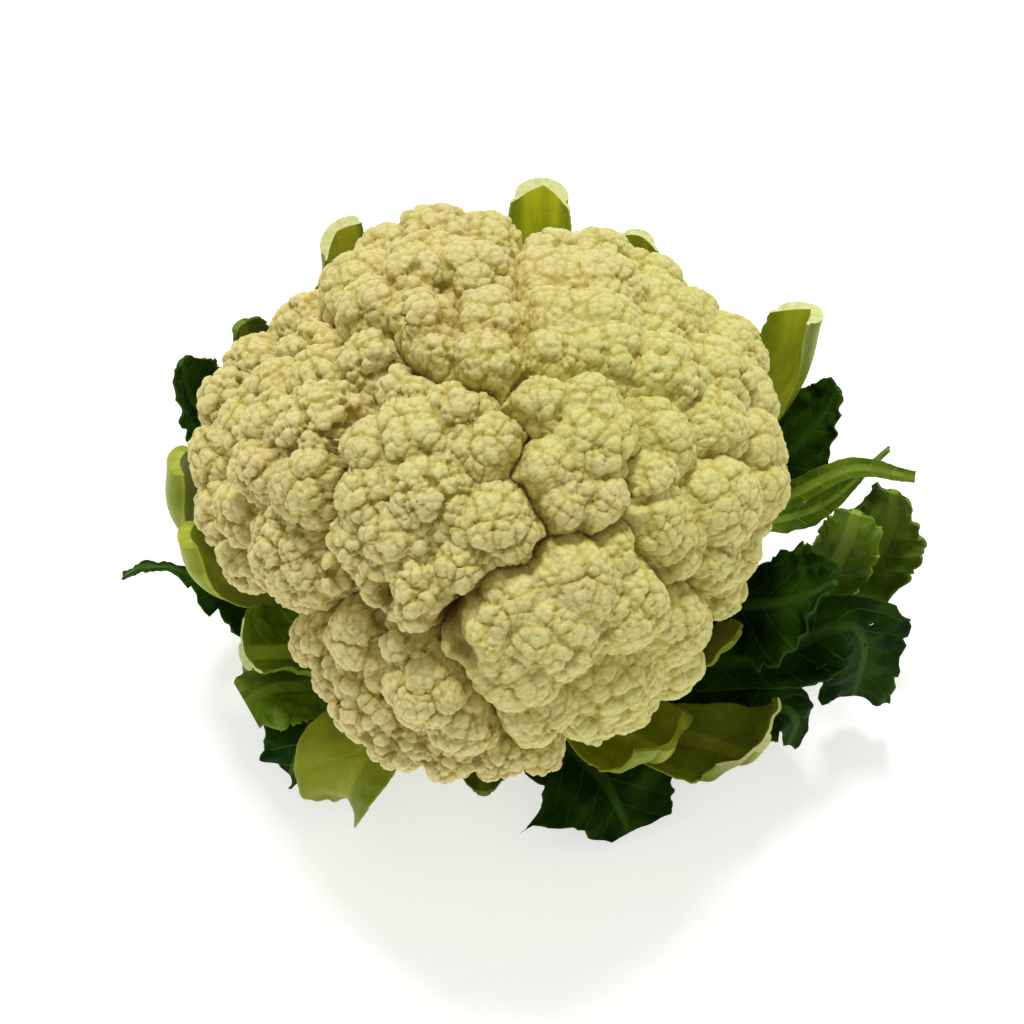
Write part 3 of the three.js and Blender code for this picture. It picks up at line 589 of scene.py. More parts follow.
def nearest_two(points, seeds):
    """(distance to the nearest seed, distance to the edge of its cell, which is nearest) for each point."""
    tree = kdtree.KDTree(len(seeds))
    for i, s in enumerate(seeds):
        tree.insert(s, i)
    tree.balance()
    found = [tree.find_n(p, 2) for p in points.tolist()]
    first = np.array([f[0][2] for f in found])
    second = np.array([f[1][2] for f in found])
    which = np.array([(f[0][1], f[1][1]) for f in found])
    between = np.linalg.norm(seeds[which[:, 0]] - seeds[which[:, 1]], axis=1)
    return first, (second ** 2 - first ** 2) / (2 * between), which[:, 0]


def two_least(values):
    """(the two lowest values of each row, which they are)."""
    order = np.argpartition(values, 1, axis=1)[:, :2]
    low = np.take_along_axis(values, order, 1)
    swap = low[:, 0] > low[:, 1]
    low[swap] = low[swap][:, ::-1]
    order[swap] = order[swap][:, ::-1]
    return low, order


def make_mesh(name, points, faces):
    """An object from points in mm and faces that all have the same number of corners."""
    mesh = bpy.data.meshes.new(name)
    faces = np.asarray(faces, np.int32)
    mesh.vertices.add(len(points))
    mesh.vertices.foreach_set("co", (points * MM).astype(np.float32).ravel())
    mesh.loops.add(faces.size)
    mesh.loops.foreach_set("vertex_index", faces.ravel())
    mesh.polygons.add(len(faces))
    mesh.polygons.foreach_set("loop_start", np.arange(0, faces.size, faces.shape[1], dtype=np.int32))
    mesh.polygons.foreach_set("use_smooth", np.ones(len(faces), bool))
    mesh.update(calc_edges=True)
    made = bpy.data.objects.new(name, mesh)
    bpy.context.scene.collection.objects.link(made)
    return made


def add_value(piece, name, values):
    """A number or a vector on each point, for the material to read."""
    values = np.asarray(values, np.float32)
    kind = "FLOAT" if values.ndim == 1 else "FLOAT_VECTOR"
    layer = piece.data.attributes.new(name, kind, "POINT")
    layer.data.foreach_set("value" if values.ndim == 1 else "vector", values.ravel())


def add_uv(piece, uv):
    """A UV map from a place for each point, fitted to the unit square."""
    low, high = uv.min(0), uv.max(0)
    uv = 0.01 + 0.98 * (uv - low) / (high - low).max()
    corners = np.empty(len(piece.data.loops), np.int32)
    piece.data.loops.foreach_get("vertex_index", corners)
    layer = piece.data.uv_layers.new(name="OFBake")
    layer.data.foreach_set("uv", uv[corners].astype(np.float32).ravel())


# The curd

def lobed_ball(lobe_middles, lobe_radii):
    """(points, triangles) of the lobes over the dome's core."""
    way, triangles = ball(BALL_FREQUENCY)
    way = unit(way + FINER_TOWARDS)
    reach = 1 / dome_level(way, CORE_INSET)
    for middle, radius in zip(lobe_middles, lobe_radii):
        along_way = way @ middle
        inside = along_way ** 2 - middle @ middle + radius ** 2
        reach = np.where(inside > 0, np.maximum(reach, along_way + np.sqrt(np.maximum(inside, 0))), reach)
    return way * reach[:, None], triangles


def grooves_between(off, lobe_owners, grooves, way):
    """(depth of grooves and gaps, how far the floret falls away to them, floret that each point is on)."""
    by_floret = [
        off[:, lobe_owners == k].min(1) if k in lobe_owners else off.max(1)
        for k in range(len(grooves))
    ]
    low, owner = two_least(np.stack(by_floret, 1))
    between = low[:, 1] - low[:, 0]
    groove = grooves[owner].mean(1)
    sunk = groove * np.maximum(0, 1 - between / GROOVE_WIDTH) ** 2
    width, fall = SHOULDER
    shoulder = fall * groove / 7 * np.maximum(0, 1 - between / width) ** 2
    dome = way / dome_level(way)[:, None]
    for right, up, radius, depth in GAPS:
        middle = seen_on_dome(right, up, 0)[0]
        sunk += depth * np.exp(-((dome - middle) ** 2).sum(1) / radius ** 2)
    return sunk, shoulder, owner[:, 0]


def add_buds(points, quads, level, lobe, lobe_count, strength):
    """Raises the buds of one level, and gives each point's distance from its bud's edge."""
    normal = point_normals(points, quads)
    spacing = level["apart"] * (1 + level["vary"] * rng.uniform(-1, 1, lobe_count))
    seeds = scatter(points, BUD_DISTANCE * spacing[lobe], rng)
    first, edge, which = nearest_two(wander(points, level["wander"], level["apart"], rng), seeds)
    edge = np.maximum(edge, 0)
    radius = level["apart"] * BUD_RADIUS
    cap = np.sqrt(np.maximum(0, 1 - (first / radius) ** 2)) - CAP_SUNK
    drop = np.maximum(0, 1 - edge / level["edge_width"]) ** 2
    own = rng.uniform(*BUD_HEIGHTS, len(seeds))[which]
    rise = strength * (own * cap * level["cap"] - drop * level["edge"])
    points += normal * rise[:, None]
    return edge


def curd_uv(way, away):
    """A place for each point on a map of the ball as looked at from away."""
    side = unit(np.cross(away, [0.3, 1, 0.2]))
    angle = np.arccos(np.clip(way @ away, -1, 1))
    flat = np.stack([way @ side, way @ np.cross(away, side)], -1)
    return unit(flat + 1e-9) * angle[:, None]


def make_curd():
    middles, sizes, grooves, reliefs = florets()
    tops, radii, lobe_owners = lobes(middles, sizes)
    tops *= (1 - (FLATTER - 1) * radii / np.linalg.norm(tops, axis=1))[:, None]
    radii *= FLATTER
    points, quads = even_quads(*lobed_ball(tops, radii), FACE_SIZE, SMOOTHING)
    way = unit(points)
    off = np.concatenate([
        (np.linalg.norm(part[:, None] - tops, axis=2) - radii).astype(np.float32)
        for part in np.array_split(wander(points, *LOBE_WANDER, rng), 50)
    ])
    sunk, shoulder, owner = grooves_between(off, lobe_owners, grooves, way)
    low, lobe = two_least(off)
    between = low[:, 1] - low[:, 0]
    depth, width, line = LOBE_CREASE
    relief = reliefs[owner]
    sink = sunk + shoulder + relief * depth * np.maximum(0, 1 - between / width) ** 2
    points -= way * sink[:, None]
    in_open = 1 - 0.8 * smooth(sunk, 2, 7)
    # Lines of painted shade along the creases between lobes and round the buds' edges.
    crease_shade_masks = [1 - smooth(between, 0, line)]
    # Painted shade in the hollows round the buds' edges, for the material.
    hollow = np.zeros(len(points))
    for level in BUD_LEVELS:
        strength = relief ** level["fade"] * in_open
        edge = add_buds(points, quads, level, lobe[:, 0], len(tops), strength)
        crease_shade_masks.append(1 - smooth(edge, 0, level["line"]))
        hollow += np.maximum(0, 1 - edge / level["hollow"]) ** 2 * level["hollow"] / 1.6
    normal = point_normals(points, quads)
    # Painted shade: how dark the crease lines are at each point, for the material.
    lines = np.stack([np.maximum(crease_shade_masks[0], crease_shade_masks[1]), crease_shade_masks[2], crease_shade_masks[3]], -1)
    lines *= relief[:, None] ** [level["fade"] for level in BUD_LEVELS]
    ways = unit(np.array(list(CURD_PIECES.values()), float))
    piece_of_face = np.argmax(unit(middles) @ ways.T, 1)[owner[quads[:, 0]]]
    points[:, 2] += DOME_HEIGHT
    for k, (name, away) in enumerate(zip(CURD_PIECES, ways)):
        used, local = np.unique(quads[piece_of_face == k], return_inverse=True)
        piece = make_mesh(name, points[used], local.reshape(-1, 4))
        piece.data.normals_split_custom_set_from_vertices(normal[used].tolist())
        add_value(piece, "crease_shade", lines[used])
        # Painted shade: how deep each point lies in a groove or gap, which the material darkens.
        add_value(piece, "sunk", np.clip(sunk[used] / GROOVE_SHADE_DEPTH, 0, 1))
        # Painted shade in the buds' hollows.
        add_value(piece, "hollow", np.clip(hollow[used], 0, 1))
        add_uv(piece, curd_uv(way[used], away))
        piece.data.materials.append(curd_material())
        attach(piece, "root")
        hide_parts("curd")


# Leaves

def along(values, t):
    """Values at shares t along a list of evenly spaced ones, on a Catmull-Rom spline."""
    values = np.asarray(values, float)
    last = len(values) - 1
    at = np.minimum(np.asarray(t, float) * last, last - 1e-9)
    i = np.floor(at).astype(int)
    f = at - i
    b, c = values[i], values[i + 1]
    a = np.where(i > 0, values[np.maximum(i - 1, 0)], 2 * b - c)
    d = np.where(i + 2 <= last, values[np.minimum(i + 2, last)], 2 * c - b)
    return b + 0.5 * f * (c - a + f * (2 * a - 5 * b + 4 * c - d + f * (3 * (b - c) + d - a)))


def spine_points(leaf, t):
    radius = along([p[0] for p in leaf["spine"]], t)
    height = along([p[1] for p in leaf["spine"]], t)
    swing = (leaf["at"] - leaf["root"] + 540) % 360 - 180
    angle = np.radians(leaf["root"] + swing * smooth(t, 0, 0.7))
    return np.stack([radius * np.cos(angle), radius * np.sin(angle), height], -1)


def clear(points, least):
    """Moves points of a blade out until they clear the dome, and up until they clear the ground."""
    from_centre = points - [0, 0, DOME_HEIGHT]
    level = dome_level(from_centre, -LEAF_CLEARANCE)
    out = np.where((level < 1)[..., None], from_centre / level[..., None], from_centre) + [0, 0, DOME_HEIGHT]
    out[..., 2] = np.maximum(out[..., 2], least)
    return out


def rotate(v, axis, angle):
    """Vectors turned about unit axes, by an angle each."""
    c, s = np.cos(angle)[..., None], np.sin(angle)[..., None]
    return v * c + np.cross(axis, v) * s + axis * (axis * v).sum(-1, keepdims=True) * (1 - c)


def hole_walls(gone, grid, under):
    """The walls of holes through a leaf, from its inner sheet to the outer one, which starts at under."""
    around = np.pad(gone, 1)
    sides = (
        (around[:-2, 1:-1], grid[:-1, 1:], grid[:-1, :-1]),
        (around[2:, 1:-1], grid[1:, :-1], grid[1:, 1:]),
        (around[1:-1, :-2], grid[:-1, :-1], grid[1:, :-1]),
        (around[1:-1, 2:], grid[1:, 1:], grid[:-1, 1:]),
    )
    for beside, first, second in sides:
        here = gone & ~beside
        a, b = first[here], second[here]
        yield np.stack([b, b + under, a + under, a], -1).reshape(-1, 4)


def leaf_frame(leaf, t):
    """The spine's points, the ways ahead, out of the inner face and aside there, and the length so far."""
    middle = spine_points(leaf, t)
    before = spine_points(leaf, np.maximum(t - 0.01, 0))
    ahead = unit(spine_points(leaf, np.minimum(t + 0.01, 1)) - before)
    turn = unit(np.stack([-middle[:, 1], middle[:, 0], np.zeros(len(t))], -1))
    face = unit(np.cross(ahead, turn))
    side = unit(np.cross(face, ahead))
    twist = np.radians(np.interp(t, [0, 1], leaf.get("twist", (0, 0))))
    face, side = rotate(face, ahead, twist), rotate(side, ahead, twist)
    length = np.concatenate([[0], np.cumsum(np.linalg.norm(np.diff(middle, axis=0), axis=1))])
    return middle, ahead, face, side, length


def leaf_columns(leaf, t, length, seed):
    """How far across each point is, and the half widths of the blade and of the midrib there."""
    rib = np.interp(t, [0, 1], leaf["rib"])
    notch, notches = leaf.get("notch", (0, 1))
    uneven = leaf.get("uneven", UNEVEN[leaf["colour"] != PALE])
    columns, widths, edges = [], [], []
    for hand, key in ((-1, "left"), (1, "right")):
        cut = 1 - notch * (0.5 - 0.5 * np.cos(2 * math.pi * notches * t))
        ragged = 1 + uneven * ripple(length * 0.8, seed + hand) * smooth(t, 0.3, 0.6)
        full = along(leaf.get("wide") or leaf[key], t)
        width = np.maximum(full * cut * ragged, 0.5 if "uneven" in leaf else 1.2)
        edge = np.minimum(rib, width * 0.9)
        inner = np.sin(np.linspace(0, math.pi / 2, RIB_COLUMNS + 1))
        outer = np.linspace(0, 1, BLADE_COLUMNS + 1)[1:]
        shares = [edge * s for s in inner] + [edge + (width - edge) * s for s in outer]
        order = range(len(shares) - 1, -1, -1) if hand < 0 else range(1, len(shares))
        columns += [hand * shares[k] for k in order]
        widths += [width] * len(order)
        edges += [edge] * len(order)
    return [np.stack(a, 1) for a in (columns, widths, edges)]


def leaf_sheets(leaf, t, seed):
    """The inner and outer sheets' points, the length so far, and what leaf_columns gives."""
    middle, ahead, face, side, length = leaf_frame(leaf, t)
    across, width, edge = leaf_columns(leaf, t, length, seed)
    thick = np.interp(t, [0, 1], leaf["thick"])[:, None]
    wave, waves = leaf.get("wave", (0, 1))
    blade = leaf["colour"] != PALE
    row = t[:, None]
    share = np.abs(across) / width
    bend = np.radians(leaf["cup"]) * row * (across / np.maximum(width, 6))
    flat = np.abs(bend) < 1e-6
    safe = np.where(flat, 1, bend)
    arm = np.where(flat, across, across * np.sin(safe) / safe)
    rise = np.where(flat, 0, across * (1 - np.cos(safe)) / safe)
    sway = wave * row * share ** 2 * np.sin(2 * math.pi * waves * row + np.where(across < 0, 0, 2))
    crumple = CRUMPLE[blade] * (
        ripple(length[:, None] * 0.35 + across * 0.12, seed + 5)
        + ripple(across * 0.4 + length[:, None] * 0.1, seed + 6)
    )
    from_vein = np.cos(math.pi * (length[:, None] - VEIN_SLANT * np.abs(across) + 0.75) / VEIN_SPACING)
    crumple = crumple + PUFF[blade] * np.abs(from_vein) ** 0.7
    crumple = smooth(np.abs(across) - edge, 0, 5) * smooth(row, 0.3, 0.5) * crumple
    rib_share = np.maximum(0, 1 - (across / edge) ** 2)
    channel = leaf.get("groove", 0) * row * np.maximum(0, 1 - np.abs(across) / edge)
    hollow = np.maximum(0.22 * (thick - BLADE_THICKNESS) * rib_share ** 2, channel)
    lift = rise + sway + crumple - hollow
    lean = leaf.get("slant", 0) * row ** 3 * across / width
    point = middle[:, None] + side[:, None] * arm[..., None] + face[:, None] * lift[..., None]
    point += ahead[:, None] * lean[..., None]
    normal = face[:, None] * np.cos(bend)[..., None] - side[:, None] * np.sin(bend)[..., None]
    depth = BLADE_THICKNESS + (thick - BLADE_THICKNESS) * np.sqrt(rib_share) - hollow
    depth = np.maximum(depth, BLADE_THICKNESS)
    depth *= 1 - 0.45 * smooth(share, 0.9, 1) * (1 - rib_share)
    inner = clear(point, GROUND_CLEARANCE + depth)
    outer = clear(inner - normal * depth[..., None], GROUND_CLEARANCE)
    return inner, outer, length, across, width, edge


def leaf_faces(leaf, t, length, across, width):
    """The quads of both sheets, the rims and holes' walls between them, and the tip with its own points."""
    rows, wide = across.shape
    grid = np.arange(rows * wide).reshape(rows, wide)
    a, b, c, d = grid[:-1, :-1], grid[1:, :-1], grid[1:, 1:], grid[:-1, 1:]
    gone = np.zeros((rows - 1, wide - 1), bool)
    for hole_row, hole_across, hole_size in leaf.get("holes", ()):
        off_along = length[:, None] - np.interp(hole_row, t, length)
        off_across = across - hole_across * np.where(across * hole_across > 0, width, 1)
        near = np.hypot(off_along, off_across) < hole_size
        gone |= near[:-1, :-1] & near[1:, 1:]
    kept = ~gone.reshape(-1)
    n = rows * wide
    top = np.stack([a, b, c, d], -1).reshape(-1, 4)
    under = top[:, ::-1] + n
    left, right, base = grid[:, 0], grid[:, -1], grid[0]
    rims = [
        np.stack([left[:-1], left[:-1] + n, left[1:] + n, left[1:]], -1),
        np.stack([right[1:], right[1:] + n, right[:-1] + n, right[:-1]], -1),
        np.stack([base[1:], base[1:] + n, base[:-1] + n, base[:-1]], -1),
    ]
    end = 2 * n + np.arange(wide)
    tip = np.stack([end[:-1], end[:-1] + wide, end[1:] + wide, end[1:]], -1)
    return np.concatenate([top[kept], under[kept], *rims, tip, *hole_walls(gone, grid, n)])


def both_sheets(inner, outer):
    """Vectors for all points of a leaf: its two sheets, and then their last rows again for the tip."""
    return np.concatenate([inner.reshape(-1, 3), outer.reshape(-1, 3), inner[-1], outer[-1]])


def make_leaf(name, leaf, seed):
    t = np.linspace(LEAF_START, 1, LEAF_ROWS + 1)
    inner, outer, length, across, width, edge = leaf_sheets(leaf, t, seed)
    piece = make_mesh(name, both_sheets(inner, outer), leaf_faces(leaf, t, length, across, width))
    lengths = np.broadcast_to(length[:, None], across.shape)
    at = np.stack([lengths, across, np.zeros_like(across)], -1)
    rim = np.stack([np.abs(across) / width, np.abs(across) / edge, np.zeros_like(across)], -1)
    add_value(piece, "place", both_sheets(at, at))
    add_value(piece, "rim", both_sheets(rim, rim + [0, 0, 1]))
    wide = across.shape[1]
    add_value(piece, "cut", np.repeat([0.0, float("cut" in leaf)], [2 * across.size, 2 * wide]))
    # Painted light and shade: a factor on the leaf's colour for its inner face and one for its outer face.
    painted_light, stub, *outside = leaf.get("look", (1, 0))
    outside = outside[0] if outside else 1 + 0.3 * (painted_light - 1)
    add_value(piece, "look", np.tile([painted_light, stub, outside], (len(piece.data.vertices), 1)))
    uv = np.stack([across, lengths], -1).reshape(-1, 2)
    shift = [np.ptp(uv[:, 0]) + 2, 0]
    add_uv(piece, np.concatenate([uv, uv + shift, uv[-wide:] + [0, 4], uv[-wide:] + [0, 7]]))
    piece.data.materials.append(leaf_material(leaf["colour"]))
    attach(piece, "root")
    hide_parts(name)


def make_stem():
    radius, height = np.array(STEM_OUTLINE, float).T
    t = np.linspace(0, 1, STEM_ROWS)
    angle = np.linspace(0, 2 * math.pi, STEM_SIDES, endpoint=False)
    ridges = 0.06 * smooth(along(height, t), 26, 38)[:, None] * np.cos(STEM_RIDGES * angle)
    r = along(radius, t)[:, None] * (1 + 0.012 * ripple(angle * 5, 3) + ridges)
    z = np.broadcast_to(np.maximum(along(height, t), 0)[:, None], r.shape)
    side = np.stack([r * np.cos(angle), r * np.sin(angle), z], -1)
    side[0, :, 2] = 0
    rows, wide = r.shape
    grid = np.arange(rows * wide).reshape(rows, wide)
    nxt = np.roll(grid, -1, 1)
    walls = np.stack([grid[:-1], nxt[:-1], nxt[1:], grid[1:]], -1).reshape(-1, 4)
    rings = [side[0] * [s, s, 1] for s in (1, 0.97, 0.8, 0.5, 0.2, 0.01)]
    under = np.concatenate(rings)
    start = rows * wide
    disc = start + np.arange(len(rings) * wide).reshape(len(rings), wide)
    dn = np.roll(disc, -1, 1)
    base = np.stack([disc[:-1], disc[1:], dn[1:], dn[:-1]], -1).reshape(-1, 4)
    points = np.concatenate([side.reshape(-1, 3), under])
    piece = make_mesh("stem_body", points, np.concatenate([walls, base]))
    add_value(piece, "cut", np.concatenate([np.zeros(start), np.ones(len(under))]))
    turn = np.broadcast_to(angle, r.shape) * 20
    uv = np.concatenate([np.stack([turn, z], -1).reshape(-1, 2), under[:, :2] + [60, 110]])
    add_uv(piece, uv)
    piece.data.materials.append(stem_material())
    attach(piece, "root")
    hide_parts("stem")


# Materials

class Nodes:
    """A material's node tree, with short calls to add to it."""

    def __init__(self, name):
        self.material = bpy.data.materials.new(name)
        self.material.use_nodes = True
        self.tree = self.material.node_tree
        self.shader = self.tree.nodes["Principled BSDF"]

    def add(self, kind, inputs=None, **settings):
        node = self.tree.nodes.new(kind)
        for key, value in settings.items():
            setattr(node, key, value)
        for key, value in (inputs or {}).items():
            self.put(node.inputs[key], value)
        return node

    def put(self, socket, value):
        if isinstance(value, bpy.types.NodeSocket):
            self.tree.links.new(value, socket)
        else:
            socket.default_value = (*value, 1) if socket.type == "RGBA" else value

    def math(self, operation, a, b=0.0, clamp=False):
        return self.add("ShaderNodeMath", {0: a, 1: b}, operation=operation, use_clamp=clamp).outputs[0]

    def ramp(self, value, low, high, out_low=0.0, out_high=1.0):
        ends = {"From Min": low, "From Max": high, "To Min": out_low, "To Max": out_high}
        return self.add(
            "ShaderNodeMapRange", {"Value": value, **ends}, interpolation_type="SMOOTHSTEP",
        ).outputs[0]

    def mix(self, share, a, b, blend="MIX"):
        return self.add(
            "ShaderNodeMix", {0: share, 6: a, 7: b}, data_type="RGBA", blend_type=blend,
        ).outputs[2]

    def noise(self, scale, detail=3.0, roughness=0.5, vector=None):
        inputs = {"Scale": scale, "Detail": detail, "Roughness": roughness}
        if vector is not None:
            inputs["Vector"] = vector
        return self.add("ShaderNodeTexNoise", inputs).outputs[0]

    def mottle(self, vector, scale, low, high, a, b, detail=3.0, roughness=0.6):
        """Colour a with patches of colour b."""
        return self.mix(self.ramp(self.noise(scale, detail, roughness, vector), low, high), a, b)

    def streaks(self, vector, scale, detail, squash):
        """Noise drawn out along Z."""
        drawn = self.add("ShaderNodeMapping", {"Vector": vector, "Scale": (1, 1, squash)}).outputs[0]
        return self.noise(scale, detail, 0.5, drawn)

    def scale(self, value, by):
        return self.add("ShaderNodeVectorMath", {0: value, 3: by}, operation="SCALE").outputs[0]

    def voronoi(self, vector, scale, feature):
        inputs = {"Vector": vector, "Scale": scale}
        return self.add("ShaderNodeTexVoronoi", inputs, feature=feature).outputs["Distance"]

    def read(self, name, output="Fac"):
        return self.add("ShaderNodeAttribute", attribute_name=name, attribute_type="GEOMETRY").outputs[output]

    def split(self, vector):
        return self.add("ShaderNodeSeparateXYZ", {0: vector}).outputs

    def bump(self, height, strength, distance, normal=None):
        inputs = {"Height": height, "Strength": strength, "Distance": distance}
        if normal is not None:
            inputs["Normal"] = normal
        return self.add("ShaderNodeBump", inputs).outputs[0]

    def set(self, **values):
        for key, value in values.items():
            self.put(self.shader.inputs[key.replace("_", " ")], value)


@functools.cache
def curd_material():
    n = Nodes("curd")
    spot = n.add("ShaderNodeTexCoord").outputs["Object"]
    crease_shade = n.split(n.read("crease_shade", "Vector"))
    sunk = n.read("sunk")
    rightward = n.ramp(n.split(spot)[0], -0.06, 0.06, -0.2, 0.2)
    patch = n.math("ADD", n.noise(14, 2, vector=spot), rightward)
    base = n.mix(n.ramp(patch, 0.3, 0.7), (0.79, 0.685, 0.30), (0.73, 0.70, 0.24))
    base = n.mix(n.ramp(n.noise(23, 2, vector=spot), 0.55, 0.75), base, (0.77, 0.63, 0.29))
    grain = n.noise(900, 3, 0.6, spot)
    base = n.mix(n.ramp(grain, 0.3, 0.75, 0.0, 0.35), base, (0.86, 0.81, 0.43))
    # Painted shade: colour darkened towards a deeper yellow-brown in the hollows round the buds.
    base = n.mix(n.math("MULTIPLY", n.read("hollow"), 0.6), base, (0.60, 0.48, 0.06))
    speck = n.ramp(n.noise(420, 1, 0.5, spot), 0.72, 0.78)
    base = n.mix(n.math("MULTIPLY", speck, 0.45), base, (0.30, 0.19, 0.06))
    # Painted shade: colour darkened towards brown along the crease lines and in deep grooves and gaps.
    crease_and_groove_shade = n.math("ADD", n.math("MULTIPLY", crease_shade[2], 0.1), n.math("MULTIPLY", crease_shade[1], 0.22))
    crease_and_groove_shade = n.math("ADD", crease_and_groove_shade, n.math("MULTIPLY", crease_shade[0], 0.45))
    # Painted shade in deep grooves and gaps.
    crease_and_groove_shade = n.math("ADD", crease_and_groove_shade, n.math("MULTIPLY", n.ramp(sunk, 0.3, 1.0), 0.7), clamp=True)
    base = n.mix(crease_and_groove_shade, base, (0.25, 0.17, 0.02))
    n.set(Base_Color=base, Roughness=0.62, Specular_IOR_Level=0.35)
    n.set(Subsurface_Weight=0.12, Subsurface_Scale=0.004, Subsurface_Radius=(1.0, 0.75, 0.3))
    fine = n.voronoi(spot, 850.0, "F1")
    normal = n.bump(n.math("SUBTRACT", 1.0, fine), 0.5, 0.0005)
    n.set(Normal=n.bump(grain, 0.25, 0.0004, normal))
    return n.material


# Blade colour, its lighter patches, the midrib's colour, and the veins'.
LEAF_COLOURS = {
    PALE: ((0.17, 0.22, 0.008), (0.26, 0.30, 0.014), (0.34, 0.39, 0.025), (0.36, 0.42, 0.05)),
    GREEN: ((0.05, 0.10, 0.004), (0.13, 0.20, 0.008), (0.20, 0.29, 0.03), (0.20, 0.28, 0.03)),
    DARK: ((0.006, 0.026, 0.002), (0.030, 0.080, 0.004), (0.055, 0.13, 0.015), (0.06, 0.13, 0.014)),
}
LEAF_GLOSS = {PALE: 0.15, GREEN: 0.08, DARK: 0.02}
VEIN_SHARE = {PALE: 0.15, GREEN: 0.45, DARK: 0.6}


@functools.cache
def leaf_material(slot):
    n = Nodes(slot)
    blade, patch, rib, vein = LEAF_COLOURS[slot]
    spot = n.add("ShaderNodeTexCoord").outputs["Object"]
    length, across, _ = n.split(n.read("place", "Vector"))
    share, rib_share, outer = n.split(n.read("rim", "Vector"))
    base = n.mottle(spot, 60, 0.35, 0.7, blade, patch)
    aside = n.math("ABSOLUTE", across)
    wobble = n.math("MULTIPLY", n.noise(90, 2, 0.5, spot), 1.5)
    slant = n.math("ADD", n.math("SUBTRACT", length, n.math("MULTIPLY", aside, VEIN_SLANT)), wobble)
    beat = n.math("ABSOLUTE", n.math("SUBTRACT", n.math("FRACT", n.math("DIVIDE", slant, VEIN_SPACING)), 0.5))
    main = n.math("MULTIPLY", n.ramp(beat, 0.0, 0.07, 1.0, 0.0), n.ramp(share, 0.75, 1.0, 1.0, 0.2))
    net = n.ramp(n.voronoi(spot, 330.0, "DISTANCE_TO_EDGE"), 0.0, 0.09, 0.14, 0.0)
    veins = n.math("MAXIMUM", main, net)
    base = n.mix(n.math("MULTIPLY", veins, VEIN_SHARE[slot]), base, vein)
    # Painted light and shade: each leaf's colour is scaled brighter or darker, with the inner and outer faces
    # set apart.
    inside, stub, outside = n.split(n.read("look", "Vector"))
    painted_light = n.math("ADD", inside, n.math("MULTIPLY", outer, n.math("SUBTRACT", outside, inside)))
    flap = n.mottle(spot, 60, 0.35, 0.7, (0.03, 0.07, 0.004), (0.07, 0.13, 0.008))
    base = n.mix(n.math("MULTIPLY", stub, n.ramp(share, 0.55, 0.9)), base, flap)
    end = n.math("MULTIPLY", stub, 0.4)
    on_rib = n.ramp(n.math("SUBTRACT", rib_share, end), 0.25 if slot == DARK else 0.4, 0.8, 1.0, 0.0)
    streak = n.streaks(spot, 220, 2, 0.15)
    rib_tone = n.mix(n.ramp(streak, 0.3, 0.7), rib, tuple(c * 0.72 for c in rib))
    base = n.mix(on_rib, base, rib_tone)
    base = n.mix(n.ramp(share, 0.94, 0.99, 0.0, 0.45), base, rib)
    pith = n.mottle(spot, 500, 0.35, 0.65, (0.74, 0.77, 0.36), (0.62, 0.66, 0.24), 2, 0.5)
    base = n.mix(n.read("cut"), n.scale(base, painted_light), pith)
    n.set(Base_Color=base, Roughness=0.45, Specular_IOR_Level=LEAF_GLOSS[slot])
    height = n.math("SUBTRACT", n.math("MULTIPLY", n.noise(350, 3, 0.6, spot), 0.5), veins)
    n.set(Normal=n.bump(height, 0.3, 0.0006))
    return n.material


def stem_material():
    n = Nodes("stem")
    spot = n.add("ShaderNodeTexCoord").outputs["Object"]
    streak = n.streaks(spot, 160, 3, 0.12)
    side = n.mix(n.ramp(streak, 0.3, 0.7), (0.52, 0.58, 0.22), (0.40, 0.47, 0.15))
    face = n.mottle(spot, 260, 0.35, 0.7, (0.72, 0.72, 0.42), (0.58, 0.55, 0.27))
    n.set(Base_Color=n.mix(n.read("cut"), side, face), Roughness=0.5)
    n.set(Subsurface_Weight=0.1, Subsurface_Scale=0.003)
    n.set(Normal=n.bump(streak, 0.3, 0.0006))
    return n.material


def floor_material():
    n = Nodes("floor")
    n.set(Base_Color=n.mix(n.noise(3, 2), (0.70, 0.70, 0.70), (0.72, 0.72, 0.72)), Roughness=0.8)
    n.set(Emission_Color=(1, 1, 1), Emission_Strength=0.62)
    return n.material


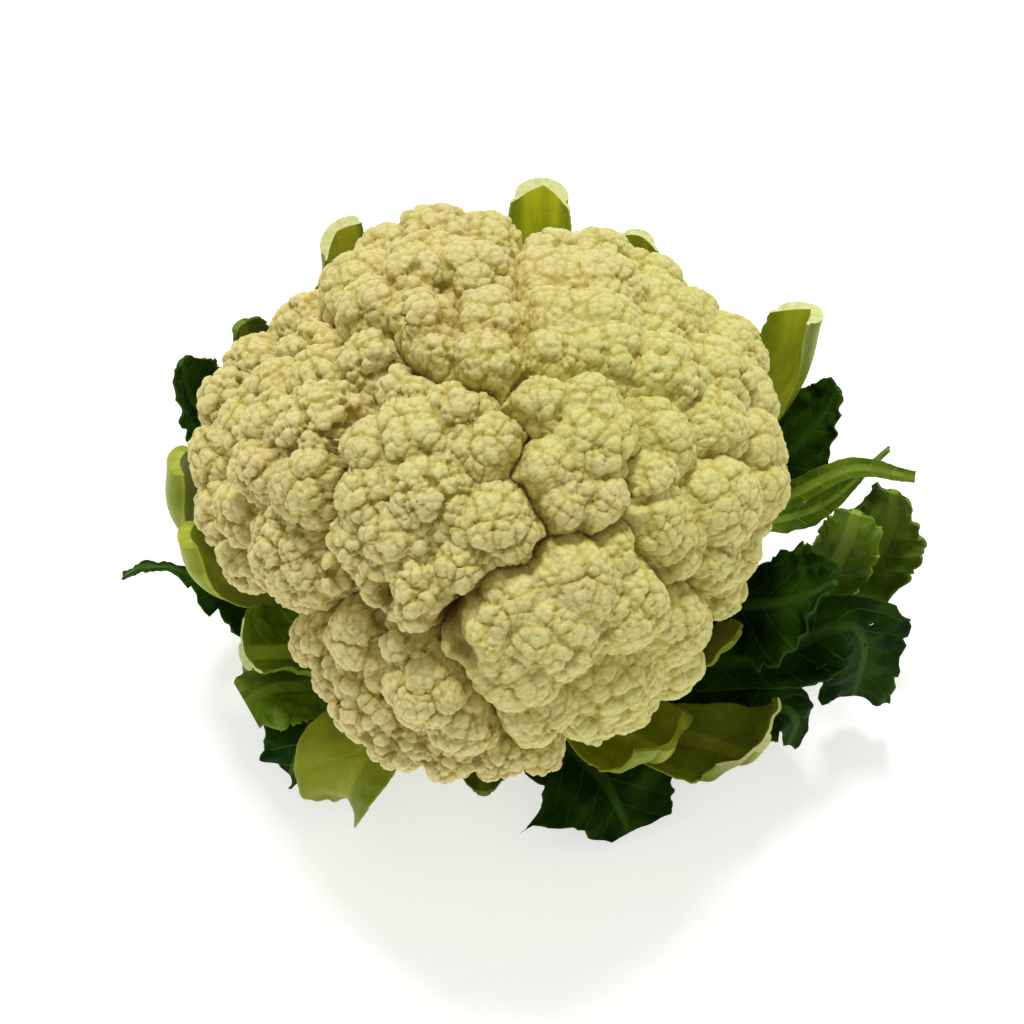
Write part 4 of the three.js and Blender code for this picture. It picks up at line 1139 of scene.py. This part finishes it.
# Camera, light and floor

# The picture's width at the dome, and how far right of and above the dome's middle its middle is, in mm.
FRAME_WIDTH = 281.6
AIM_RIGHT = 4.4
AIM_UP = -5.5
SENSOR_WIDTH = 36

# The light: the sky, and a soft sun with its spread in degrees.
SKY = (1, 1, 0.92, 1)
SKY_STRENGTH = 0.42
SUN_PLACE = np.array([-0.05, 0.44, 0.89]) * 2
SUN_STRENGTH = 2.05
SUN_SPREAD = 16


def make_stage():
    scene = bpy.context.scene
    scene.view_settings.view_transform = "Standard"
    bpy.ops.mesh.primitive_plane_add(size=8)
    floor = bpy.context.object
    floor.name = "floor"
    floor.data.materials.append(floor_material())
    world = bpy.data.worlds.new("studio")
    world.use_nodes = True
    background = world.node_tree.nodes["Background"].inputs
    background[0].default_value = SKY
    background[1].default_value = SKY_STRENGTH
    scene.world = world
    sun = bpy.data.objects.new("key", bpy.data.lights.new("key", "SUN"))
    sun.data.energy = SUN_STRENGTH
    sun.data.angle = math.radians(SUN_SPREAD)
    scene.collection.objects.link(sun)
    aim_at(sun, SUN_PLACE, np.zeros(3), np.array([0, 1.0, 0]))
    camera = bpy.data.objects.new("camera", bpy.data.cameras.new("camera"))
    scene.collection.objects.link(camera)
    camera.data.sensor_width = SENSOR_WIDTH
    camera.data.lens = SENSOR_WIDTH * EYE_DISTANCE / FRAME_WIDTH
    aim = np.array([0, 0, DOME_HEIGHT]) + np.array([AIM_RIGHT, 0, 0]) + EYE_UP * AIM_UP
    aim_at(camera, (aim + TOWARDS_EYE * EYE_DISTANCE) * MM, aim * MM, EYE_UP)
    scene.camera = camera


def aim_at(thing, place, target, up):
    back = unit(place - target)
    right = unit(np.cross(up, back))
    turn = Matrix([[*row] for row in np.stack([right, np.cross(back, right), back], 1)])
    thing.matrix_world = Matrix.Translation(place.tolist()) @ turn.to_4x4()


make_stage()
make_curd()
make_stem()
for number, (leaf_name, leaf_data) in enumerate(LEAVES.items()):
    make_leaf(leaf_name, leaf_data, 100 + 7 * number)
